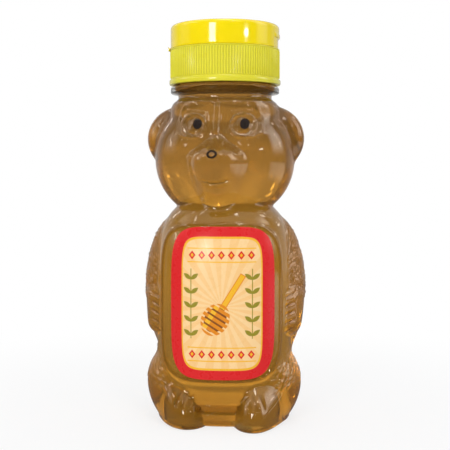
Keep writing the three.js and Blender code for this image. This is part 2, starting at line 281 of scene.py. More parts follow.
def curve(value, at, levels):
    # a smooth line through a few levels
    at, levels = np.array(at, float), np.array(levels, float)
    slope = np.gradient(levels, at)
    first = np.clip(np.searchsorted(at, value) - 1, 0, len(at) - 2)
    width = at[first + 1] - at[first]
    share = np.clip((value - at[first]) / width, 0, 1)
    start = levels[first] * (1 + 2 * share) + slope[first] * width * share
    end = levels[first + 1] * (3 - 2 * share) - slope[first + 1] * width * (1 - share)
    return start * (1 - share) ** 2 + end * share**2


def plainHead(angle, height, inset):
    # torso, cheeks, skull and neck, without the muzzle
    radius = bear["neckRadius"] - inset - bear["neckDraft"] * (headTop - height)
    for mass in masses:
        radius = flow(radius, massReach(mass, angle, height, inset), mass["blend"])
    lean = forehead["slope"] * np.clip(height - forehead["from"], 0, forehead["height"])
    lean = lean * (1 - smoothStep(*forehead["end"], height))
    return radius - lean * smoothStep(*forehead["front"], -np.sin(angle - bear["headTurn"]))


def withMuzzle(radius, angle, height, inset):
    # a rounded snout on the front of the head that flows into it
    turned = angle - bear["headTurn"]
    m = muzzle
    half = curve(height, m["heights"], m["halves"])
    front = curve(height, m["heights"], m["reaches"]) - inset
    bare = plainHead(np.full_like(height, bear["headTurn"] - math.pi / 2), height, inset)
    aside = np.minimum(np.abs(radius * np.cos(turned)) / half, 2) ** m["roundness"]
    rise = front - bare - (np.maximum(front - bare, 0) + m["depth"]) * aside
    onHead = (height > m["heights"][0]) & (height < m["heights"][-1]) & (np.sin(turned) < 0)
    return np.where(onHead, flow(radius, radius + rise, m["blend"]), radius)


def plainRadius(angle, height, inset=0.0):
    level = np.maximum(height, bear["baseRound"])
    radius = plainHead(angle, level, inset)
    radius = withMuzzle(radius, angle, level, inset)
    for group in limbs:
        reach = np.zeros_like(radius)
        for limb in group["members"]:
            for side in limb["sides"]:
                reach = flow(reach, limbReach(limb, side, angle, level, inset), group["inner"])
        reach = np.where(reach > group["inner"], reach, 0)
        radius = flow(radius, reach, group["blend"])
    return radius


# Relief on the face, in millimetres across and up, seen from the front of the head
face = {
    "line": 0.36,  # half the width of the thin moulded lines
    "eyeSide": 8.7,
    "eyeShift": 0.3,
    "eyeLevel": 108.4,
    "socket": 4.3,  # radius of the moulded ring
    "socketRise": 0.5,
    "socketDip": 0.3,
    "ball": 2.9,
    "ballRise": 0.6,
    "lid": [(-0.6, -4.2), (3.4, -4.0), (6.6, -2.4)],  # out and up from the eye
    "lidRise": 0.45,
    "folds": [((4.6, 7.0), (6.0, 2.6), 0.35), ((6.0, 2.6), (6.6, -2.4), 0.3)],  # ends and rise
    "foldWidth": 0.5,
    "beads": 9,  # small beads along each brow
    "beadStart": (-3.6, 5.1),
    "beadStep": 0.8,
    "beadBow": 0.02,
    "beadSize": 0.34,
    "beadRise": 0.3,
    "tuft": (-0.2, 116.7),  # small moulded ring over the forehead
    "tuftRadius": 1.05,
    "tuftRise": 0.45,
    "browMiddle": -0.1,
    "browHalf": 0.8,  # half the width of the ridge down the forehead
    "browSoft": 0.25,
    "browRise": 0.55,
    "browSpan": (104.8, 106.2, 115, 115.8),
    "browLip": 0.2,  # rise, inset and width of the ridge's two edges
    "browLipIn": 0.1,
    "browLipWidth": 0.3,
    "moundMiddle": -1.4,
    "moundWidth": 2.6,
    "moundRise": 0.8,
    "moundSpan": (103, 108, 112, 117),
    "nosePad": (3.2, 2.5),
    "noseEdge": (0.45, 1.15),  # shares of the pad over which it falls away
    "noseLevel": 98.0,
    "noseRise": 0.8,
    "cleftDepth": 0.3,  # from the nose down to the mouth
    "cleftWidth": 0.45,
    "smileLevel": 88.2,
    "smileEnds": (4.4, 6.2),
    "smileCurve": 0.043,
    "smileDepth": 0.6,
    "smileWidth": 0.42,
    "lipDrop": 1.1,  # the lower lip under the smile
    "lipRise": 0.45,
    "lipWidth": 0.6,
}


def faceRelief(x, z, fine):
    f = face
    rise = np.zeros_like(x)
    for side in both:
        out = (x - f["eyeShift"]) * side - f["eyeSide"]
        up = z - f["eyeLevel"]
        gap = np.hypot(out, up)
        rise += f["socketRise"] * ridge(gap - f["socket"], f["line"])
        rise -= f["socketDip"] * (1 - smoothStep(f["ball"], f["socket"], gap))
        ball = np.clip(1 - (gap / f["ball"]) ** 2, 0, 1)
        rise += (f["ballRise"] + f["socketDip"]) * np.sqrt(ball)
        # the lower lid runs on outwards to a point
        inner, corner, point = f["lid"]
        lidGap = np.minimum(strokeGap(out, up, inner, corner), strokeGap(out, up, corner, point))
        rise += f["lidRise"] * ridge(lidGap, f["line"])
        # folds from the temple down past the eye
        for start, end, size in f["folds"]:
            rise += size * ridge(strokeGap(out, up, start, end), f["foldWidth"])
        if fine:
            startOut, startUp = f["beadStart"]
            for step in range(f["beads"]):
                climb = f["beadBow"] * step**1.5
                bead = np.hypot(out - startOut - f["beadStep"] * step, up - startUp - climb)
                rise += f["beadRise"] * ridge(bead, f["beadSize"])
    tuftGap = np.hypot(x - f["tuft"][0], z - f["tuft"][1])
    rise += f["tuftRise"] * ridge(tuftGap - f["tuftRadius"], f["line"])
    onBrow = within(z, *f["browSpan"])
    brow = np.abs(x - f["browMiddle"]) - f["browHalf"]
    rise += f["browRise"] * (1 - smoothStep(-f["browSoft"], f["browSoft"], brow)) * onBrow
    rise += f["browLip"] * ridge(brow + f["browLipIn"], f["browLipWidth"]) * onBrow
    rise += f["moundRise"] * ridge(x - f["moundMiddle"], f["moundWidth"]) * within(z, *f["moundSpan"])
    pad = np.hypot(x / f["nosePad"][0], (z - f["noseLevel"]) / f["nosePad"][1])
    rise += f["noseRise"] * (1 - smoothStep(*f["noseEdge"], pad))
    cleft = strokeGap(x, z, (0, f["smileLevel"]), (0, f["noseLevel"] - f["nosePad"][1]))
    rise -= f["cleftDepth"] * ridge(cleft, f["cleftWidth"])
    smile = z - f["smileLevel"] - f["smileCurve"] * x**2
    ends = 1 - smoothStep(*f["smileEnds"], np.abs(x))
    rise -= f["smileDepth"] * ridge(smile, f["smileWidth"]) * ends
    rise += f["lipRise"] * ridge(smile + f["lipDrop"], f["lipWidth"]) * ends
    return rise


# Relief on the body: fur on the arms and haunches, fingers, toes and the panel round the label
degree = math.pi / 180
fur = {
    "width": 0.27,
    "half": 0.8,  # half the height that a stroke climbs
    "round": 27,  # radius at which the strokes' lengths are measured
    "margin": (3, 4),  # degrees and millimetres round a stroke that it can reach
    "armRise": 0.34,
    "armRows": 22,
    "armColumns": 9,
    "armTop": 73.5,
    "armStep": 1.3,
    "armStart": 67.0,  # degrees round from the front
    "armTurn": 4.0,
    "armEdge": (87, 19, 9),  # inner edge at the top, degrees that it runs forwards, rows for that
    "armLean": (5.2, 1.3),  # degrees that a stroke runs round, and how far that varies
    "armUneven": 0.3,
    "armLow": 30,  # strokes over this height are the arms'
    "haunchRise": 0.28,
    "haunchRows": 7,
    "haunchColumns": 6,
    "haunchStart": 46,
    "haunchTurn": 6.4,
    "haunchLean": 2.6,
    "haunchLow": 13.6,
    "haunchStep": 1.8,
    "haunchSlope": 0.1,
    "haunchTop": 27,
}
fingers = {
    "count": 5,
    "top": 46.9,
    "step": 3.15,
    "start": 61,
    "sweep": 8,
    "climb": (-0.5, 0.6),  # a cleft's two ends, up from its middle
    "depth": 0.5,
    "width": 0.42,
}
panel = {"middle": (-0.25, 45.4), "half": (21.5, 27.8), "squareness": 5, "rise": 0.5, "width": 0.55}
panelEnd = (64, 72)  # degrees from the front over which the panel's edge ends
feet = {
    "gap": (6.6, 8.4),  # half the width between the feet, where it begins to close and where it is closed
    "bandHigh": 8.8,
    "bandLow": 5.4,
    "bandDepth": 1.4,
    "bandSoft": (0.3, 0.4),  # of its lower and upper edge
    "bandTurn": 60,  # degrees from the front within which the band lies
    "toeTurn": 80,  # and the toes
    "toeSide": 12.9,
    "toeStep": 2.4,
    "toeTop": 13.0,
    "toeLow": 8.6,
    "toeLean": 0.9,
    "toeFan": (0.4, 0.5),  # how the upper and lower ends of the outer clefts differ in height
    "toeDepth": 0.5,
    "toeWidth": 0.42,
}
parting = {"rise": 0.12, "width": 0.3, "from": 4}


def furStrokes():
    # start and end of each stroke as degrees from the front and height
    f = fur
    strokes = []
    edge, forwards, edgeRows = f["armEdge"]
    lean, vary = f["armLean"]
    for row in range(f["armRows"]):
        for column in range(f["armColumns"]):
            turn = f["armStart"] + f["armTurn"] * (column + 0.5 * (row % 2))
            height = f["armTop"] - f["armStep"] * row + f["armUneven"] * math.sin(7.3 * row + 3.1 * column)
            sweep = lean + vary * math.sin(2.1 * row + 1.7 * column)
            inner = edge - forwards * min(1, row / edgeRows)
            if turn > inner:
                strokes.append((turn, height - f["half"], turn + sweep, height + f["half"]))
    for row in range(f["haunchRows"]):
        for column in range(f["haunchColumns"]):
            turn = f["haunchStart"] + f["haunchTurn"] * (column + 0.5 * (row % 2))
            height = f["haunchLow"] + f["haunchStep"] * row + f["haunchSlope"] * (turn - f["haunchStart"])
            if height < f["haunchTop"]:
                lean = f["haunchLean"]
                strokes.append((turn - lean, height - f["half"], turn + lean, height + f["half"]))
    return strokes


def furRelief(turn, z, radius):
    # one side's strokes and the clefts between its fingers
    rise = np.zeros_like(z)
    aside, above = fur["margin"]
    for turnA, heightA, turnB, heightB in furStrokes():
        low, high = min(turnA, turnB) - aside, max(turnA, turnB) + aside
        near = (turn > low) & (turn < high) & (np.abs(z - heightA) < above)
        end = ((turnB - turnA) * degree * fur["round"], heightB)
        gap = strokeGap((turn[near] - turnA) * degree * radius[near], z[near], (0, heightA), end)
        size = fur["armRise"] if heightA > fur["armLow"] else fur["haunchRise"]
        rise[near] += size * ridge(gap, fur["width"])
    reach = degree * fur["round"]
    for finger in range(fingers["count"]):
        height = fingers["top"] - fingers["step"] * finger
        across = (turn - fingers["start"]) * reach
        start, end = (height + climb for climb in fingers["climb"])
        gap = strokeGap(across, z, (0, start), (fingers["sweep"] * reach, end))
        rise -= fingers["depth"] * ridge(gap, fingers["width"])
    return rise


def bodyRelief(turn, x, z, radius, fine):
    # turn is in degrees from the front, positive to the right
    rise = np.zeros_like(x)
    u = np.abs((x - panel["middle"][0]) / panel["half"][0]) ** panel["squareness"]
    v = np.abs((z - panel["middle"][1]) / panel["half"][1]) ** panel["squareness"]
    edge = ((u + v) ** (1 / panel["squareness"]) - 1) * panel["half"][0]
    inFront = 1 - smoothStep(*panelEnd, np.abs(turn))
    rise += panel["rise"] * ridge(edge, panel["width"]) * inFront
    # a sunk band between the feet, with a plain band under it
    between = (1 - smoothStep(*feet["gap"], np.abs(x))) * (np.abs(turn) < feet["bandTurn"])
    low, high = feet["bandLow"], feet["bandHigh"]
    softLow, softHigh = feet["bandSoft"]
    band = within(z, low - softLow, low + softLow, high - softHigh, high + softHigh)
    rise -= feet["bandDepth"] * band * between
    front = np.abs(turn) < feet["toeTurn"]
    fanTop, fanLow = feet["toeFan"]
    for side in both:
        for toe in (-1, 0, 1):
            across = feet["toeSide"] + feet["toeStep"] * toe
            top = (across - feet["toeLean"], feet["toeTop"] - fanTop * abs(toe))
            low = (across + feet["toeLean"], feet["toeLow"] - fanLow * toe)
            rise -= feet["toeDepth"] * ridge(strokeGap(x * side, z, top, low), feet["toeWidth"]) * front
        if fine:
            rise += furRelief(turn * side, z, radius)
    # parting line of the mould down each side
    fromParting = (np.abs(turn) - 90) * degree * radius
    rise += parting["rise"] * ridge(fromParting, parting["width"]) * (z > parting["from"])
    return rise


# Where the face's relief and the body's begin and end
reliefSpan = {"faceFront": (0.15, 0.35), "faceLow": (79.5, 82), "bodyHigh": (76, 78.5)}


def skinRadius(angle, height, inset=0.0, relief=1.0, fine=True):
    angle, height = np.broadcast_arrays(np.asarray(angle, float), np.asarray(height, float))
    radius = plainRadius(angle, height, inset)
    turn = np.degrees((angle + math.pi / 2 + math.pi) % (2 * math.pi) - math.pi)
    headAngle = angle - bear["headTurn"]
    inFront = smoothStep(*reliefSpan["faceFront"], -np.sin(headAngle))
    onHead = smoothStep(*reliefSpan["faceLow"], height) * inFront
    rise = faceRelief(radius * np.cos(headAngle), height, fine) * onHead
    onBody = 1 - smoothStep(*reliefSpan["bodyHigh"], height)
    rise += bodyRelief(turn, radius * np.cos(angle), height, radius, fine) * onBody
    return radius + relief * rise


def frontPoint(across, height, turn=0.0, lift=0.0, **options):
    # the point of the skin that lies across and up from the middle, seen along the front
    reachRound = 1.45  # radians searched to each side
    low = np.full(np.shape(across), -math.pi / 2 - reachRound) + turn
    high = low + 2 * reachRound
    for _ in range(40):
        middle = (low + high) / 2
        reach = (skinRadius(middle, height, **options) + lift) * np.cos(middle - turn)
        low = np.where(reach < across, middle, low)
        high = np.where(reach < across, high, middle)
    radius = skinRadius(low, height, **options) + lift
    return np.stack([radius * np.cos(low), radius * np.sin(low), height], axis=-1)


# Columns round the skin, closer together on the front and sides
columns = {"front": 150, "back": 28, "frontHalf": 105}
sweep = columns["frontHalf"]
turns = np.concatenate(
    [
        np.linspace(-180, -sweep, columns["back"] + 1)[:-1],
        np.linspace(-sweep, sweep, columns["front"] + 1)[:-1],
        np.linspace(sweep, 180, columns["back"] + 1),
    ]
)
skinAngles = np.radians(turns) - math.pi / 2


def steps(low, high, size):
    return np.linspace(low, high, max(2, round((high - low) / size) + 1))


def levelRing(radius, height):
    # one row of the grid: a radius, or one for each column, at a height
    radius = np.broadcast_to(radius, skinAngles.shape)
    height = np.broadcast_to(height, skinAngles.shape)
    return np.stack([radius * np.cos(skinAngles), radius * np.sin(skinAngles), height], axis=1)


def wrappedGrid(name, rings):
    # a flat grid whose rows are laid on the rings, then sewn up at the seam and the poles
    clearSelection()
    across, up = len(skinAngles) - 1, len(rings) - 1
    bpy.ops.mesh.primitive_grid_add(x_subdivisions=across, y_subdivisions=up, size=1)
    obj = newPiece(name)
    flat = meshPoints(obj) * mm
    column = np.rint((flat[:, 0] + 0.5) * across).astype(int)
    row = np.rint((flat[:, 1] + 0.5) * up).astype(int)
    setPoints(obj, np.array(rings)[row, column])
    settle(obj, 60)
    return obj


def underside(edge, floor, hollow, count):
    # rings from the middle of a base out to its edge, pushed up in the middle
    rings = []
    for share in np.linspace(0, 1, count):
        push = hollow * (1 - smoothStep(*neck["hollowEdge"], share))
        rings.append(levelRing(edge * share, floor + push))
    return rings


def roundedFoot(inset, relief, count):
    # rings round the lower edge of a skin
    top = bear["baseRound"]
    radius = skinRadius(skinAngles, top, inset, relief, relief == 1)
    edge = top - inset
    rings = []
    for angle in np.linspace(0, math.pi / 2, count + 1)[:-1]:
        rings.append(levelRing(radius - edge + edge * math.sin(angle), top - edge * math.cos(angle)))
    return radius - edge, rings


def skinRings(heights, inset=0.0, relief=1.0):
    rings = []
    for height in heights:
        rings.append(levelRing(skinRadius(skinAngles, height, inset, relief, relief == 1), height))
    return rings


# Bottle: skin, neck finish with thread, and the lining inside, as one closed shell
neck = {
    "lip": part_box("bottle")[1].z / mm,
    "bore": 15.3,
    "boreLevels": (131, 127, 123.3, 121),
    "ring": 20.2,
    "ringLow": 120.8,
    "ringHigh": 123.3,
    "bead": 1.1,
    "beadRadius": 17.5,
    "threadStart": 126.8,
    "threadPitch": 4.233,
    "threadTurns": 1.25,
    "taper": 18,  # degrees over which each end of the thread fades
    "hollow": 1.6,  # push-up under the base
    "hollowEdge": (0.35, 0.74),  # share of the way out over which that ends
    "innerRelief": 0.55,
}
fill = {
    "reach": 0.35,  # into the bottle's wall
    "boreReach": 0.12,
    "boreLevels": (121, 123.3, 125.5),
    "level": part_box("honey")[1].z / mm,
    "meniscus": 0.7,
    "meniscusFrom": 0.8,  # share of the way out at which the surface begins to climb
}


def threadBulge(degrees, height, start, bead):
    # how far the bead of a thread stands out where it passes
    bulge = np.zeros_like(degrees)
    for lap in range(2):
        wound = degrees + 360 * lap
        fromEnd = np.minimum(wound, 360 * neck["threadTurns"] - wound)
        size = bead * smoothStep(0, neck["taper"], fromEnd)
        middle = start + neck["threadPitch"] * wound / 360
        bulge = np.maximum(bulge, np.sqrt(np.maximum(size**2 - (height - middle) ** 2, 0)))
    return bulge


def threadRadius(height):
    # the neck's wall with the helical bead on it
    bulge = threadBulge(np.degrees(skinAngles) % 360, height, neck["threadStart"], neck["bead"])
    return np.where(bulge > 0, neck["beadRadius"] + bulge, bear["neckRadius"])


def neckRings():
    r, ring, bore = bear["neckRadius"], neck["ring"], neck["bore"]
    low, high, lip = neck["ringLow"], neck["ringHigh"], neck["lip"]
    supportRing = [
        (r, low - 0.9), (r + 0.15, low - 0.45), (r + 0.6, low - 0.15), (ring - 0.5, low + 0.05),
        (ring - 0.12, low + 0.25), (ring, low + 0.6), (ring, high - 0.6), (ring - 0.12, high - 0.25),
        (ring - 0.5, high - 0.05), (ring - 1, high), (r + 0.6, high), (r + 0.15, high + 0.15),
        (r, high + 0.5),
    ]
    mouth = [
        (r, lip - 0.45), (r - 0.15, lip - 0.1), (r - 0.5, lip),
        (bore + 0.5, lip), (bore + 0.12, lip - 0.12), (bore, lip - 0.5),
    ]
    thread = [levelRing(threadRadius(height), height) for height in steps(high + 1, lip - 0.7, 0.45)]
    return [levelRing(*point) for point in supportRing] + thread + [levelRing(*point) for point in mouth]


# Areas that are cut finer: degrees from the front, heights and cuts
fineAreas = {"face": (0, 43, 82.5, 118.2, 2), "limbs": (38, 104, 5.5, 76, 1)}


def cutFiner(obj, area):
    # cut up the skin's faces in an area and lay the new points on the skin
    nearest, farthest, low, high, cuts = area
    middle, normal = faceData(obj)
    turn = np.abs(np.degrees(np.arctan2(middle[:, 0], -middle[:, 1])))
    outward = (middle[:, :2] * normal[:, :2]).sum(axis=1) > 0
    chosen = outward & (turn > nearest) & (turn < farthest) & (middle[:, 2] > low) & (middle[:, 2] < high)
    makeActive(obj)
    bpy.ops.object.mode_set(mode="EDIT")
    bpy.ops.mesh.select_mode(type="FACE")
    bpy.ops.mesh.select_all(action="DESELECT")
    bpy.ops.object.mode_set(mode="OBJECT")
    obj.data.polygons.foreach_set("select", chosen)
    bpy.ops.object.mode_set(mode="EDIT")
    bpy.ops.mesh.subdivide(number_cuts=cuts)
    bpy.ops.object.mode_set(mode="OBJECT")
    picked = np.zeros(len(obj.data.vertices), bool)
    obj.data.vertices.foreach_get("select", picked)
    points = meshPoints(obj)
    angle = np.arctan2(points[picked, 1], points[picked, 0])
    radius = skinRadius(angle, points[picked, 2])
    points[picked, 0], points[picked, 1] = radius * np.cos(angle), radius * np.sin(angle)
    setPoints(obj, points)


# Painted shade along the moulded lines of the body: how far off the plain skin the lines begin and are
# full, and between which heights
lineShadeSpan = {"rise": (0.06, 0.3), "near": 0.3, "low": 3, "high": 77}


def markLineShade(obj):
    # a mask of where the moulded lines get painted shade
    points = meshPoints(obj)
    angle, height = np.arctan2(points[:, 1], points[:, 0]), points[:, 2]
    skin = skinRadius(angle, height)
    line = smoothStep(*lineShadeSpan["rise"], np.abs(skin - plainRadius(angle, height)))
    onSkin = np.abs(fromAxis(points) - skin) < lineShadeSpan["near"]
    line *= onSkin & (height > lineShadeSpan["low"]) & (height < lineShadeSpan["high"])
    pointValues(obj, "paintedLineShade", line)


def makeBottle():
    wall, relief, crease = bear["wall"], neck["innerRelief"], bear["bodyHeight"]
    edge, foot = roundedFoot(0, 1.0, 4)
    rings = underside(edge, 0, neck["hollow"], 9)[:-1] + foot
    rings += skinRings(steps(bear["baseRound"], crease, 0.84))
    rings += skinRings(steps(crease, headTop, 0.75)[1:])
    rings += neckRings()
    # back down the bore and the lining to the floor, with close rows only at the crease
    bore = [levelRing(neck["bore"], height) for height in neck["boreLevels"]]
    levels = [
        *steps(bear["baseRound"], crease - 7, 4),
        *steps(crease - 6, crease + 6, 1),
        *steps(crease + 9, headTop - 0.5, 3),
    ]
    lining = skinRings(levels[::-1], wall, relief)
    edge, foot = roundedFoot(wall, relief, 3)
    floor = underside(edge, wall, neck["hollow"], 6)[:-1]
    rings += bore + lining + foot[::-1] + floor[::-1]
    obj = wrappedGrid("bottle_shell", rings)
    for area in fineAreas.values():
        cutFiner(obj, area)
    bpy.ops.object.shade_smooth_by_angle(angle=math.radians(60))
    # painted shade along the moulded lines
    markLineShade(obj)
    # the lining below the fill and the support ring get finishes of their own
    middle, normal = faceData(obj)
    level, reach = middle[:, 2], fromAxis(middle)
    inward = (middle[:, :2] * normal[:, :2]).sum(axis=1) < -0.05
    onFloor = (normal[:, 2] > 0.5) & (level < 8) & (reach < 20)
    wet = (inward | onFloor) & (level < fill["level"])
    onRing = (level > neck["ringLow"] - 0.2) & (level < neck["ringHigh"] + 0.1)
    onRing &= reach > bear["neckRadius"] + 0.5
    finishByFace(obj, wet + 2 * onRing, 3)
    return obj


# Honey: fills the shell and reaches a little into its wall, so that no film of air shows between them
def makeHoney():
    inset = bear["wall"] - fill["reach"]
    relief = neck["innerRelief"]
    edge, foot = roundedFoot(inset, relief, 3)
    rings = underside(edge, inset, neck["hollow"], 6)[:-1] + foot
    rings += skinRings(steps(bear["baseRound"], headTop - 0.5, 1.0), inset, relief)
    reach, top = neck["bore"] + fill["boreReach"], fill["level"] + fill["meniscus"]
    rings += [levelRing(reach, height) for height in (*fill["boreLevels"], top)]
    for share in np.linspace(1, 0, 10)[1:]:
        climb = fill["meniscus"] * smoothStep(fill["meniscusFrom"], 1.0, share) ** 2
        rings.append(levelRing(reach * share, fill["level"] + climb))
    return wrappedGrid("honey_fill", rings)


bottleShell = makeBottle()
bottleShell.data.calc_loop_triangles()
print("bottle shell:", len(bottleShell.data.loop_triangles), "triangles")
honeyFill = makeHoney()
print("honey:", len(honeyFill.data.polygons), "faces")


# Label: a thin sheet laid on the belly within a rounded outline
label = {
    "half": (18.4, 27.1),
    "middle": (0.7, 45.4),
    "squareness": 5,
    "thickness": 0.22,
    "lift": 0.04,
    "cells": (72, 106),
}


def makeLabel():
    clearSelection()
    across, up = label["cells"]
    bpy.ops.mesh.primitive_grid_add(x_subdivisions=across, y_subdivisions=up, size=2)
    obj = newPiece("belly_label")
    flat = meshPoints(obj) * mm
    u, v = flat[:, 0], flat[:, 1]
    power = label["squareness"]
    square = np.maximum(np.abs(u), np.abs(v))
    rounded = (np.abs(u) ** power + np.abs(v) ** power) ** (1 / power)
    pull = np.divide(square, rounded, out=np.ones_like(square), where=rounded > 0)
    x = label["middle"][0] + label["half"][0] * u * pull
    z = label["middle"][1] + label["half"][1] * v * pull
    setPoints(obj, frontPoint(x, z, lift=label["lift"], relief=0.0))
    thicken(obj, label["thickness"], even=True)
    settle(obj, 45)
    return obj


bellyLabel = makeLabel()
print("label:", len(bellyLabel.data.polygons), "faces")


# Ink on the face: two dots and a ring, printed on the moulded relief
ink = {
    "thickness": 0.05,
    "lift": 0.02,
    "points": 48,
    "rims": 5,
    "heart": 0.08,  # the last rim of a dot, as a share of its size
    "eyes": [("left_eye_ink", -7.2), ("right_eye_ink", 9.7)],
    "eyeLevel": 109.0,
    "eyeSize": (1.6, 1.9),
    "noseMiddle": (-0.3, 98.0),
    "noseSize": (1.85, 1.45),
    "noseBand": 0.62,
}


def makeInk(name, middle, size, band=0.0):
    clearSelection()
    bpy.ops.mesh.primitive_circle_add(vertices=ink["points"], radius=mm)
    obj = newPiece(name)
    bpy.ops.object.mode_set(mode="EDIT")
    bpy.ops.mesh.select_mode(type="EDGE")
    bpy.ops.mesh.select_all(action="SELECT")
    inner = 1 - band / size[1] if band else ink["heart"]
    shrink = inner ** (1 / ink["rims"])
    for _ in range(ink["rims"]):
        bpy.ops.mesh.extrude_edges_move()
        bpy.ops.transform.resize(value=(shrink, shrink, 1))
    if not band:
        bpy.ops.mesh.edge_face_add()
    bpy.ops.object.mode_set(mode="OBJECT")
    flat = meshPoints(obj)
    x = middle[0] + size[0] * flat[:, 0]
    z = middle[1] + size[1] * flat[:, 1]
    setPoints(obj, frontPoint(x, z, bear["headTurn"], ink["lift"]))
    thicken(obj, ink["thickness"])
    settle(obj, 60)
    return obj


inkPieces = [makeInk(name, (side, ink["eyeLevel"]), ink["eyeSize"]) for name, side in ink["eyes"]]
inkPieces.append(makeInk("nose_ink", ink["noseMiddle"], ink["noseSize"], ink["noseBand"]))
print("ink:", [piece.name for piece in inkPieces])


# Cap base: ribbed skirt, plain rim, deck with spout and collar, thread inside
cap = {
    "bottom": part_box("cap_base")[0].z / mm,
    "radius": 20.4,
    "inside": 18.95,
    "flare": 0.35,
    "rim": 1.9,
    "ribs": 126,
    "ribDepth": 0.3,
    "ribColumns": 6,
    "plainCrest": 0.6,  # what the ribs' material takes for the plain parts
    "deckLow": 135.8,
    "deck": 137.3,
    "collar": (16.9, 18.2, 138.9),
    "spout": (4.0, 5.5, 139.5),
    "bead": 0.85,
    "beadRadius": 18.85,
    "threadStart": 125.1,
    "turn": math.atan2(joints["lid_hinge"]["pos_m"][1], joints["lid_hinge"]["pos_m"][0]) - math.pi,
}


def capProfile():
    c = cap
    outer, edge, inside = c["radius"] + c["flare"], c["radius"], c["inside"]
    valley = c["radius"] - c["ribDepth"]
    low, rim, top, under = c["bottom"], c["bottom"] + c["rim"], c["deck"], c["deckLow"]
    collarIn, collarOut, collarTop = c["collar"]
    hole, spout, spoutTop = c["spout"]
    return [
        # rim, ribs and the edge of the deck
        (outer - 0.5, low), (outer - 0.12, low + 0.12), (outer, low + 0.5), (outer, rim - 0.45),
        (outer - 0.12, rim - 0.15), (outer - 0.35, rim), (valley + 0.2, rim + 0.15), (valley, rim + 0.45),
        (valley, rim + 0.8), (valley, top - 0.9), (valley, top - 0.6), (edge - 0.1, top - 0.35),
        (edge - 0.12, top - 0.15), (edge - 0.3, top),
        # collar
        (collarOut + 0.3, top), (collarOut, top + 0.3), (collarOut, collarTop - 0.2),
        (collarOut - 0.2, collarTop), (collarIn + 0.2, collarTop), (collarIn, collarTop - 0.2),
        (collarIn, top + 0.3), (collarIn - 0.3, top),
        # spout
        (spout + 0.4, top), (spout, top + 0.4), (spout - 0.1, spoutTop - 0.25), (spout - 0.3, spoutTop),
        (hole + 0.3, spoutTop), (hole, spoutTop - 0.3), (hole, under + 0.2), (hole + 0.2, under),
        # under the deck and down the inside
        (inside - 0.4, under), (inside - 0.1, under - 0.12),
        *((inside, height) for height in np.arange(under - 0.5, low + 0.6, -0.4)),
        (inside, low + 0.5), (inside + 0.3, low),
    ]


def makeCapBase():
    c = cap
    valley, rim, top = c["radius"] - c["ribDepth"], c["bottom"] + c["rim"], c["deck"]
    obj = pulledRing("cap_skirt", capProfile(), c["ribColumns"] * c["ribs"])
    closeEnds(obj, bridge=True)
    points = meshPoints(obj)
    angle = np.arctan2(points[:, 1], points[:, 0])
    # rounded ribs between the rim and the top
    onRib = np.abs(fromAxis(points) - valley) < touch
    onRib &= (points[:, 2] > rim + 0.6) & (points[:, 2] < top - 0.7)
    rib = c["ribDepth"] * (0.5 + 0.5 * np.cos(angle * c["ribs"])) ** 0.8
    points[onRib, :2] *= (1 + rib[onRib] / valley)[:, None]
    setPoints(obj, points)
    # how high each point stands on a rib, which the skirt's material reads for painted light and shade
    pointValues(obj, "crest", np.where(onRib, rib / c["ribDepth"], c["plainCrest"]))
    # the bead wound up inside the skirt
    points = meshPoints(obj)
    onWall = (np.abs(fromAxis(points) - c["inside"]) < touch) & (points[:, 2] < c["deckLow"] - 0.3)
    bulge = threadBulge(np.degrees(angle[onWall]) % 360, points[onWall, 2], c["threadStart"], c["bead"])
    radius = np.where(bulge > 0, np.minimum(c["beadRadius"] - bulge, c["inside"]), c["inside"])
    points[onWall, :2] *= (radius / c["inside"])[:, None]
    setPoints(obj, points)
    settle(obj, 32)
    # the plain rim is glossier than the ribs
    middle, _ = faceData(obj)
    onRim = (middle[:, 2] < rim + 0.05) & (fromAxis(middle) > valley)
    finishByFace(obj, onRim, 2)
    return obj


# Lid: a shallow glossy cap with a plug pin, a thumb lip over a recess, and a ring inside
lid = {
    "bottom": 137.34,
    "top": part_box("flip_lid")[1].z / mm,
    "radius": 20.2,
    "columns": 288,
    "wall": 1.4,
    "roof": 1.5,
    "round": 1.5,
    "dish": [(0.6, 0.05), (6, 0.04), (11, 0.02), (15, 0)],  # radius, and depth of the dished top there
    "ring": 8.0,
    "ringHeight": 1.2,
    "pin": 3.6,
    "pinBore": 2.5,
    "pinLow": 137.3,
    "thumbHalf": 6.0,
    "thumbDepth": 0.4,
    "thumbHeight": 4.0,
    "thumbSoft": 0.9,  # widths over which the recess and the lip fade
    "recessSoft": 0.45,
    "lipReach": 0.25,
    "lipHeight": 1.7,
    "lipSoft": (0.35, 0.15, 0.9),
}


def lidProfile():
    low, top, radius, edge = lid["bottom"], lid["top"], lid["radius"], lid["round"]
    ceiling, inner = top - lid["roof"], radius - lid["wall"]
    ring, ringLow = lid["ring"], ceiling - lid["ringHeight"]
    pin, bore, pinLow = lid["pin"], lid["pinBore"], lid["pinLow"]
    dish = [(reach, top - depth) for reach, depth in lid["dish"]]
    fillet = [
        (radius - edge * (1 - math.sin(angle)), top - edge * (1 - math.cos(angle)))
        for angle in np.linspace(0, math.pi / 2, 10)
    ]
    wall = [(radius, height) for height in np.arange(top - edge - 0.3, low + 0.5, -0.3)]
    return [
        *dish, *fillet, *wall, (radius, low + 0.3), (radius - 0.1, low + 0.08), (radius - 0.3, low),
        (inner + 0.4, low), (inner, low + 0.4), (inner, ceiling - 0.8), (inner - 0.25, ceiling - 0.2),
        (inner - 0.9, ceiling), (ring + 0.6, ceiling), (ring + 0.4, ringLow), (ring - 0.4, ringLow),
        (ring - 0.6, ceiling), (pin + 0.5, ceiling), (pin, ceiling - 0.5), (pin, pinLow + 0.7),
        (pin - 0.4, pinLow), (bore + 0.2, pinLow), (bore, pinLow + 0.3), (bore, ceiling - 0.3),
        (bore - 0.3, ceiling), (dish[0][0], ceiling),
    ]


